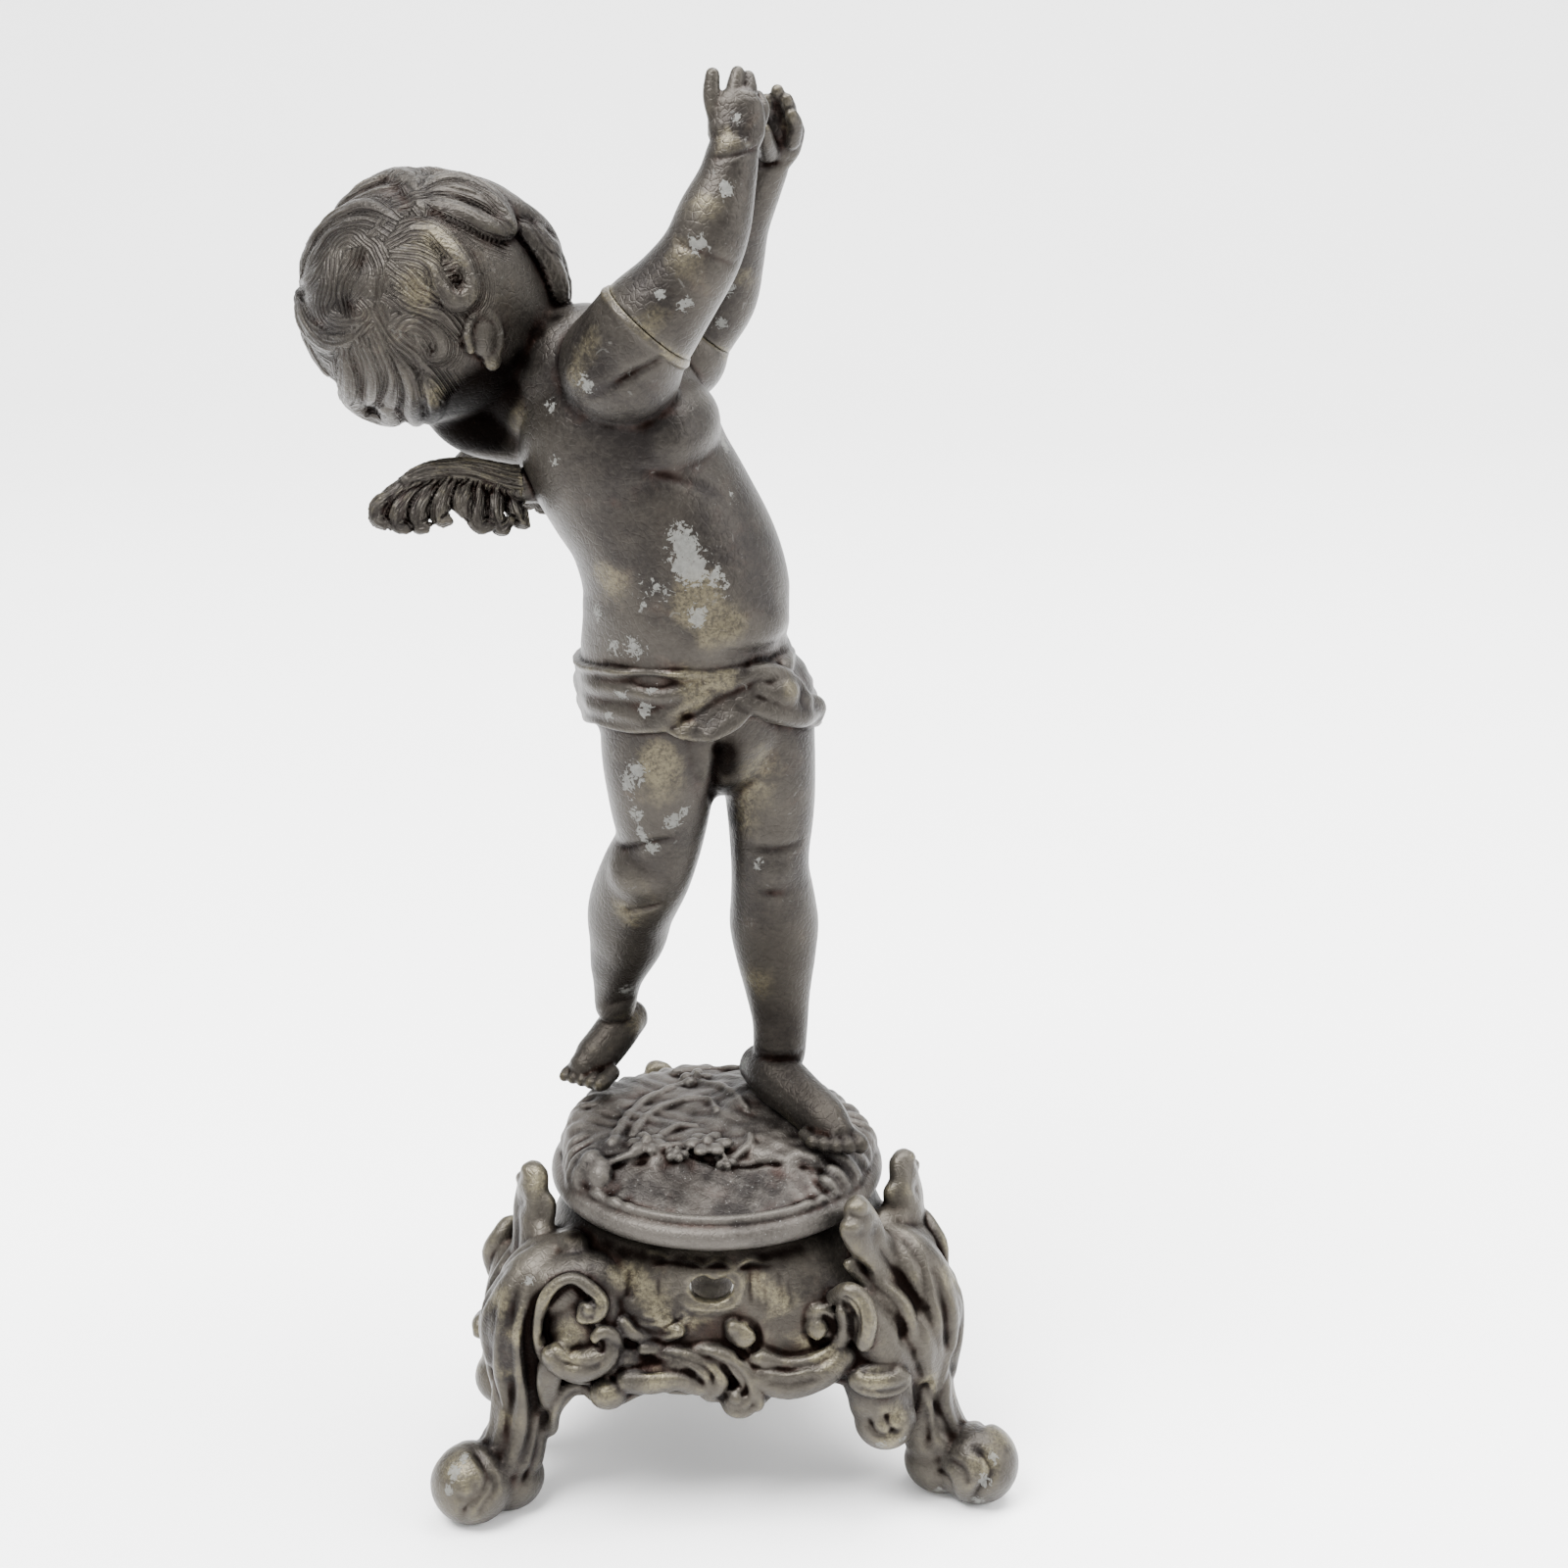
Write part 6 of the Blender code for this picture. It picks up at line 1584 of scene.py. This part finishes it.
    def add_ornament(self, clay: Clay, rough: Skin) -> None:
        """Lays the broad ornament on the rough casting: bands, bosses, lobe and pendant.

        Args:
            clay: The forms.
            rough: The rough casting, on which the front side's dots are found.
        """
        for out, radii, *dots in self.bands:
            sizes = np.interp(np.linspace(0, 1, len(dots)), np.linspace(0, 1, len(radii)), radii)
            places = [near_place(*plate_pixel(x, y), rough) + self.towards * out * MM for x, y in dots]
            for side in range(3):
                facing = Matrix.Rotation(2 * math.pi * side / 3, 3, "Z") @ self.towards
                clay.roll([(*self.turned(p, side), r) for p, r in zip(places, sizes)], tuple(facing), 12, 4)
        for (x, y), out, radii in self.knobs:
            place = near_place(*plate_pixel(x, y), rough) + self.towards * out * MM
            for side in range(3):
                facing = Matrix.Rotation(2 * math.pi * side / 3, 3, "Z") @ self.towards
                clay.ball(self.turned(place, side), radii, tuple(facing), segments=24)

    def add_leg(self, clay: Clay, side: int) -> None:
        """Adds a splayed leg with its shoulder, foot, hanging ball, side leaves and crown leaves."""
        turn = self.facing(side) - math.pi / 3
        outward = (math.cos(turn), math.sin(turn), 0.0)
        profile = ((0.70, 69.0, 0.75), (0.88, 65.5, 1.0), (0.985, 57.0, 1.05), (1.0, 46.0, 0.98),
                   (0.99, 35.0, 0.88), (1.0, 25.0, 0.86), (1.05, 15.0, 0.95))
        clay.roll([(*self.by(side, self.leg_reach * o, 0, h), self.leg * r, self.leg * r * 0.94)
                   for o, h, r in profile], outward, 28, 5)
        clay.ball(self.by(side, self.foot_reach, 0, self.foot - self.flat), (self.foot, self.foot, self.foot),
                  outward, segments=40)
        clay.ball(self.by(side, self.foot_reach * 0.86, 0, 0.8 * self.foot - self.flat),
                  (self.foot * 0.9, self.foot * 0.84, self.foot * 0.8), outward, segments=32)
        for across, radius in ((-6.6, 2.7), (-2.2, 3.0), (2.6, 3.0), (7.0, 2.7)):
            ridge = []
            for out, height, r in profile[1:]:
                bend = across * (1.0 - 0.20 * (70 - height) / 55)
                crest = self.leg * r * 0.93 * math.sqrt(max(0.1, 1.0 - (bend / (self.leg * r)) ** 2))
                ridge.append((*self.by(side, self.leg_reach * out + crest - 1.7, bend, height), radius))
            clay.roll(ridge, outward, 12, 4)
        shoulder = ((40.0, 15.0, 64.0, 7.0), (47.0, 11.0, 66.0, 8.4), (54.0, 5.0, 63.5, 9.0))
        clay.roll([(*self.by(side, *row[:3]), row[3]) for row in shoulder], outward, 20)
        clay.ball(self.by(side, self.leg_reach * 0.93, -16.5, 27.5), (8.3, 8.3, 8.0), segments=32)
        cup = ((0.80, -18.0, 45.0, 6.2), (0.88, -17.0, 37.0, 7.8), (0.90, -16.0, 32.0, 8.2))
        clay.roll([(*self.by(side, self.leg_reach * o, a, h), r) for o, a, h, r in cup], outward, 20)
        apron = ((0.84, -20.0, 60.0, 5.4), (0.90, -16.0, 50.0, 7.0), (0.93, -13.0, 40.0, 7.0),
                 (0.94, -11.0, 31.0, 5.6))
        clay.roll([(*self.by(side, self.leg_reach * o, a, h), r) for o, a, h, r in apron], outward, 20)
        veins = (((50, -24, 66), (56, -19, 55), (60.4, -16, 44), (60, -14, 35)),
                 ((47, -17, 71), (58, -13, 61), (64.4, -10, 50), (65, -8, 38)),
                 ((50, 18, 60), (56, 15.0, 52), (60, 12.6, 44), (60, 10.6, 35), (58, 9, 29)))
        for vein in veins:
            clay.roll([(*self.by(side, *p), r) for p, r in zip(vein, (1.8, 3.6, 3.8, 2.8, 1.8))], outward, 12)
        clay.ball(self.by(side, 50.0, -10.0, 71.5), (5.0, 5.0, 5.6), outward, segments=20)
        clay.ball(self.by(side, 47.5, 4.0, 74.0), (4.2, 5.0, 3.4), outward, segments=20)
        for edge in (-1, 1):
            if edge > 0 and side == 0:
                continue
            for lean, high, radius in ((0.6, 87.2, 5.8), (4.2, 83.4, 5.0), (-4.8, 81.0, 4.8)):
                leaf = [(55.0, edge * (7.0 + lean * 0.3), 62.0), (51.2, edge * (10.4 + lean * 0.6), 73.0),
                        (49.8, edge * (12.4 + lean * 0.8), high - 6.4),
                        (47.6, edge * (14.0 + lean), high - 0.6), (49.4, edge * (14.8 + lean), high)]
                sizes = (radius, radius, radius * 0.92, radius * 0.74, radius * 0.5)
                clay.roll([(*self.by(side, *p), r * 0.72, r) for p, r in zip(leaf, sizes)],
                          (-math.sin(turn), math.cos(turn), 0.0), 14)

    def build(self) -> Object:
        """Builds the base.

        Returns:
            Its finished skin.
        """
        rough = Clay("rough_base")
        self.add_wall(rough)
        for side in range(3):
            self.add_leg(rough, side)
            plate = self.turned(AXIS + Vector((-35.0, -40.0, 56.5)) * MM, side)
            facing = Matrix.Rotation(2 * math.pi * side / 3, 3, "Z") @ Vector((-0.42, -0.88, 0.22))
            rough.ball(plate, (5.5, 11.8, 15.0), tuple(facing), segments=32)
        casting = rough.fused(self.rough_grain, 3)
        clay = Clay("base")
        self.add_ornament(clay, Skin(casting))
        clay.take(casting)
        thing = clay.fused(self.fine_grain, 3)
        cut_flat(thing, Vector((0, 0, 0)), Vector((0, 0, -1)))
        self.pierce(thing)
        skin = Skin(thing)
        self.work(skin)
        return skin.finished(self.triangles)

    def pierce(self, thing: Object) -> None:
        """Cuts the bean-shaped hole through each side."""
        only(thing)
        for side in range(3):
            cutter = bmesh.new()
            rings = []
            for out in (-10.0, 10.0):
                ring = []
                for k in range(40):
                    t = 2 * math.pi * k / 40
                    notch = 1.0 - 0.40 * math.exp(-((t - math.pi * 0.46) / 0.36) ** 2)
                    place = self.on(side, -4.0 + 6.5 * math.cos(t), 67.5, out)
                    place.z = (66.8 + 4.2 * notch * math.sin(t)) * MM
                    ring.append(cutter.verts.new(place))
                rings.append(ring)
            for k in range(40):
                n = (k + 1) % 40
                cutter.faces.new((rings[0][k], rings[0][n], rings[1][n], rings[1][k]))
            cutter.faces.new(rings[0])
            cutter.faces.new(rings[1])
            bmesh.ops.recalc_face_normals(cutter, faces=cutter.faces)
            mesh = bpy.data.meshes.new("hole")
            cutter.to_mesh(mesh)
            cutter.free()
            tool = bpy.data.objects.new("hole", mesh)
            bpy.context.scene.collection.objects.link(tool)
            applied(thing, "BOOLEAN", operation="DIFFERENCE", object=tool)
            bpy.data.objects.remove(tool)

    def work(self, skin: Skin) -> None:
        """Keeps the lip's space free, then carves every side as the front one is drawn."""
        p = skin.co - np.array(AXIS) / MM
        around = np.hypot(p[:, 0], p[:, 1])
        least = self.ground_radius + 0.3
        inside = (p[:, 2] > self.height - 0.1) & (around < least) & (around > 30)
        grow = least / around[inside]
        skin.co[inside, 0] = AXIS.x / MM + p[inside, 0] * grow
        skin.co[inside, 1] = AXIS.y / MM + p[inside, 1] * grow
        skin.write()
        lines = [(width, depth, dots) for width, depth, *dots in self.carving]
        lines += [(0.75, 0.50, ((a, c), ((a + b) / 2, (c + d) / 2), (b, d))) for (a, c), (b, d) in self.ribs]
        for width, depth, dots in lines:
            places = [near_place(*plate_pixel(x, y), skin) for x, y in dots]
            for side in range(3):
                skin.crease([self.turned(place, side) for place in places], width * 1.35, depth * 0.75)
        skin.write()
        for side in range(3):
            for edge in (-1, 1):
                skin.press(self.by(side, 53.0, edge * 13.0, 80.0), 2.8, 1.5)
        skin.write()
        # Painted highlights on the base, noted together with the rubs
        rubs_and_highlights = np.zeros(len(skin.co))
        for (x, y), size in self.painted_shine:
            place = near_place(*plate_pixel(x, y), skin)
            rubs_and_highlights += 0.8 * sum(skin.blob(self.turned(place, side), size) for side in range(3))
        skin.note("rubs_and_highlights", np.clip(rubs_and_highlights, 0, 1))
        skin.note("chips", skin.spots(tuple((plate_pixel(x, y), size) for (x, y), size in self.knocks), 1.0))
        # Painted shade under the mound's lip, inside the hollow wall and round the dots under the lip
        under = np.exp(-((p[:, 2] - self.height + 1.0) / 3.2) ** 2) * np.clip((around - 34) / 4, 0, 1)
        inner = np.clip((self.hem_half - 8.0 - around) / 4.0, 0, 1) * np.clip((p[:, 2] - 30) / 8, 0, 1)
        shade = np.zeros(len(skin.co))
        for x, y in self.overhung:
            place = near_place(*plate_pixel(x, y), skin)
            shade += sum(skin.blob(self.turned(place, side), 3.0) for side in range(3))
        painted_shade = np.maximum(under * (around < 47.5) * 0.8, inner * 0.8)
        skin.note("painted_shade", np.clip(np.maximum(painted_shade, shade), 0, 1))


class Studio:
    """Pale floor that curves up to a pale wall, soft lights and the camera."""

    def build(self) -> None:
        """Builds the studio."""
        self.floor()
        self.lights()
        self.camera()

    def floor(self) -> None:
        """Adds the floor and its curved backdrop."""
        bpy.ops.object.select_all(action="DESELECT")
        bpy.ops.mesh.primitive_plane_add(size=1.0)
        floor = bpy.context.active_object
        floor.name = "floor"
        work = bmesh.new()
        profile = [(-3.0, 0.0), (1.2, 0.0)]
        profile += [(1.2 + 0.9 * math.sin(t), 0.9 - 0.9 * math.cos(t)) for t in
                    (math.radians(a) for a in range(6, 91, 6))]
        profile.append((2.1, 3.4))
        rows = [[work.verts.new((x, y, z - 0.00005)) for x in (-4.0, 4.0)] for y, z in profile]
        for low, high in zip(rows, rows[1:]):
            work.faces.new((low[0], low[1], high[1], high[0]))
        work.to_mesh(floor.data)
        work.free()
        floor.data.shade_smooth()
        paper = Recipe("pale_paper")
        clouds = paper.noise(240.0, 2.0).rise(0.3, 0.7)
        tone = paper.mix(clouds, (0.91, 0.91, 0.91, 1.0), (0.93, 0.93, 0.93, 1.0))
        paper.join(tone, paper.shader.inputs["Base Color"])
        paper.join(0.7, paper.shader.inputs["Roughness"])
        floor.data.materials.append(paper.material)

    def light(self, name: str, place: Row, aim: Row, size: float, power: float) -> None:
        """Adds one soft area light."""
        bpy.ops.object.light_add(type="AREA", location=place)
        lamp = bpy.context.active_object
        lamp.name = name
        lamp.data.shape = "DISK"
        lamp.data.size = size
        lamp.data.energy = power
        lamp.rotation_euler = (Vector(aim) - Vector(place)).to_track_quat("-Z", "Y").to_euler()

    def lights(self) -> None:
        """Adds an even sky and three soft lights."""
        world = bpy.data.worlds.new("soft_sky")
        world.use_nodes = True
        world.node_tree.nodes["Background"].inputs[0].default_value = (1.0, 1.0, 1.0, 1.0)
        world.node_tree.nodes["Background"].inputs[1].default_value = 1.6
        bpy.context.scene.world = world
        self.light("key", (-0.6, -0.5, 1.6), (0, 0, 0.15), 1.0, 90.0)
        self.light("top", (0.4, 0.3, 1.7), (0, 0, 0.1), 1.3, 86.0)
        self.light("right", (1.3, -0.3, 0.7), (0, 0, 0.2), 0.9, 20.0)

    def camera(self) -> None:
        """Adds the camera at the portrait's angle."""
        data = bpy.data.cameras.new("portrait")
        data.sensor_width = 36.0
        data.lens = 36.0 * VIEW_REACH / PICTURE
        data.clip_start = 0.01
        data.clip_end = 20.0
        eye = bpy.data.objects.new("portrait", data)
        eye.location = AXIS + Vector(VIEW_PLACE) * MM
        eye.rotation_euler = (math.radians(90 - VIEW_DROP), 0.0, 0.0)
        bpy.context.scene.collection.objects.link(eye)
        bpy.context.scene.camera = eye


def main() -> None:
    """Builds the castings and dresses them."""
    logging.basicConfig(level=logging.INFO, format="%(message)s")
    figure = Cherub()
    skin = Patina("patina_figure", rubbed=0.45, chipped=0.35).made()
    dressed(figure.build(), "cherub_body", skin)
    for arm in (RIGHT_ARM, LEFT_ARM):
        dressed(arm.build(figure), arm.node, skin)
    feathers = Patina("patina_wings", rubbed=0.9, chipped=0.0, crackle=0.4).made()
    for hand, (root, tip) in zip(Hand, figure.sockets):
        node = f"{hand.value}_wing"
        dressed(Wing(node, root, tip, hand).build(), node, feathers)
    stone = Patina("patina_mound", rubbed=0.12, chipped=0.0, dusty=0.6, roughness=0.52,
                   body=(0.0400, 0.0335, 0.0285, 1.0), painted_sheen=(0.082, 0.075, 0.066, 1.0)).made()
    dressed(Mound().build(), "ground", stone)
    bronze = Patina("patina_base", rubbed=0.72, chipped=0.1, crackle=0.9, body=(0.0310, 0.0262, 0.0208, 1.0),
                    painted_sheen=(0.058, 0.052, 0.042, 1.0), rub_and_highlight=(0.108, 0.094, 0.058, 1.0)).made()
    dressed(FootedBase().build(), "footed_base", bronze)
    Studio().build()


if __name__ == "__main__":
    main()
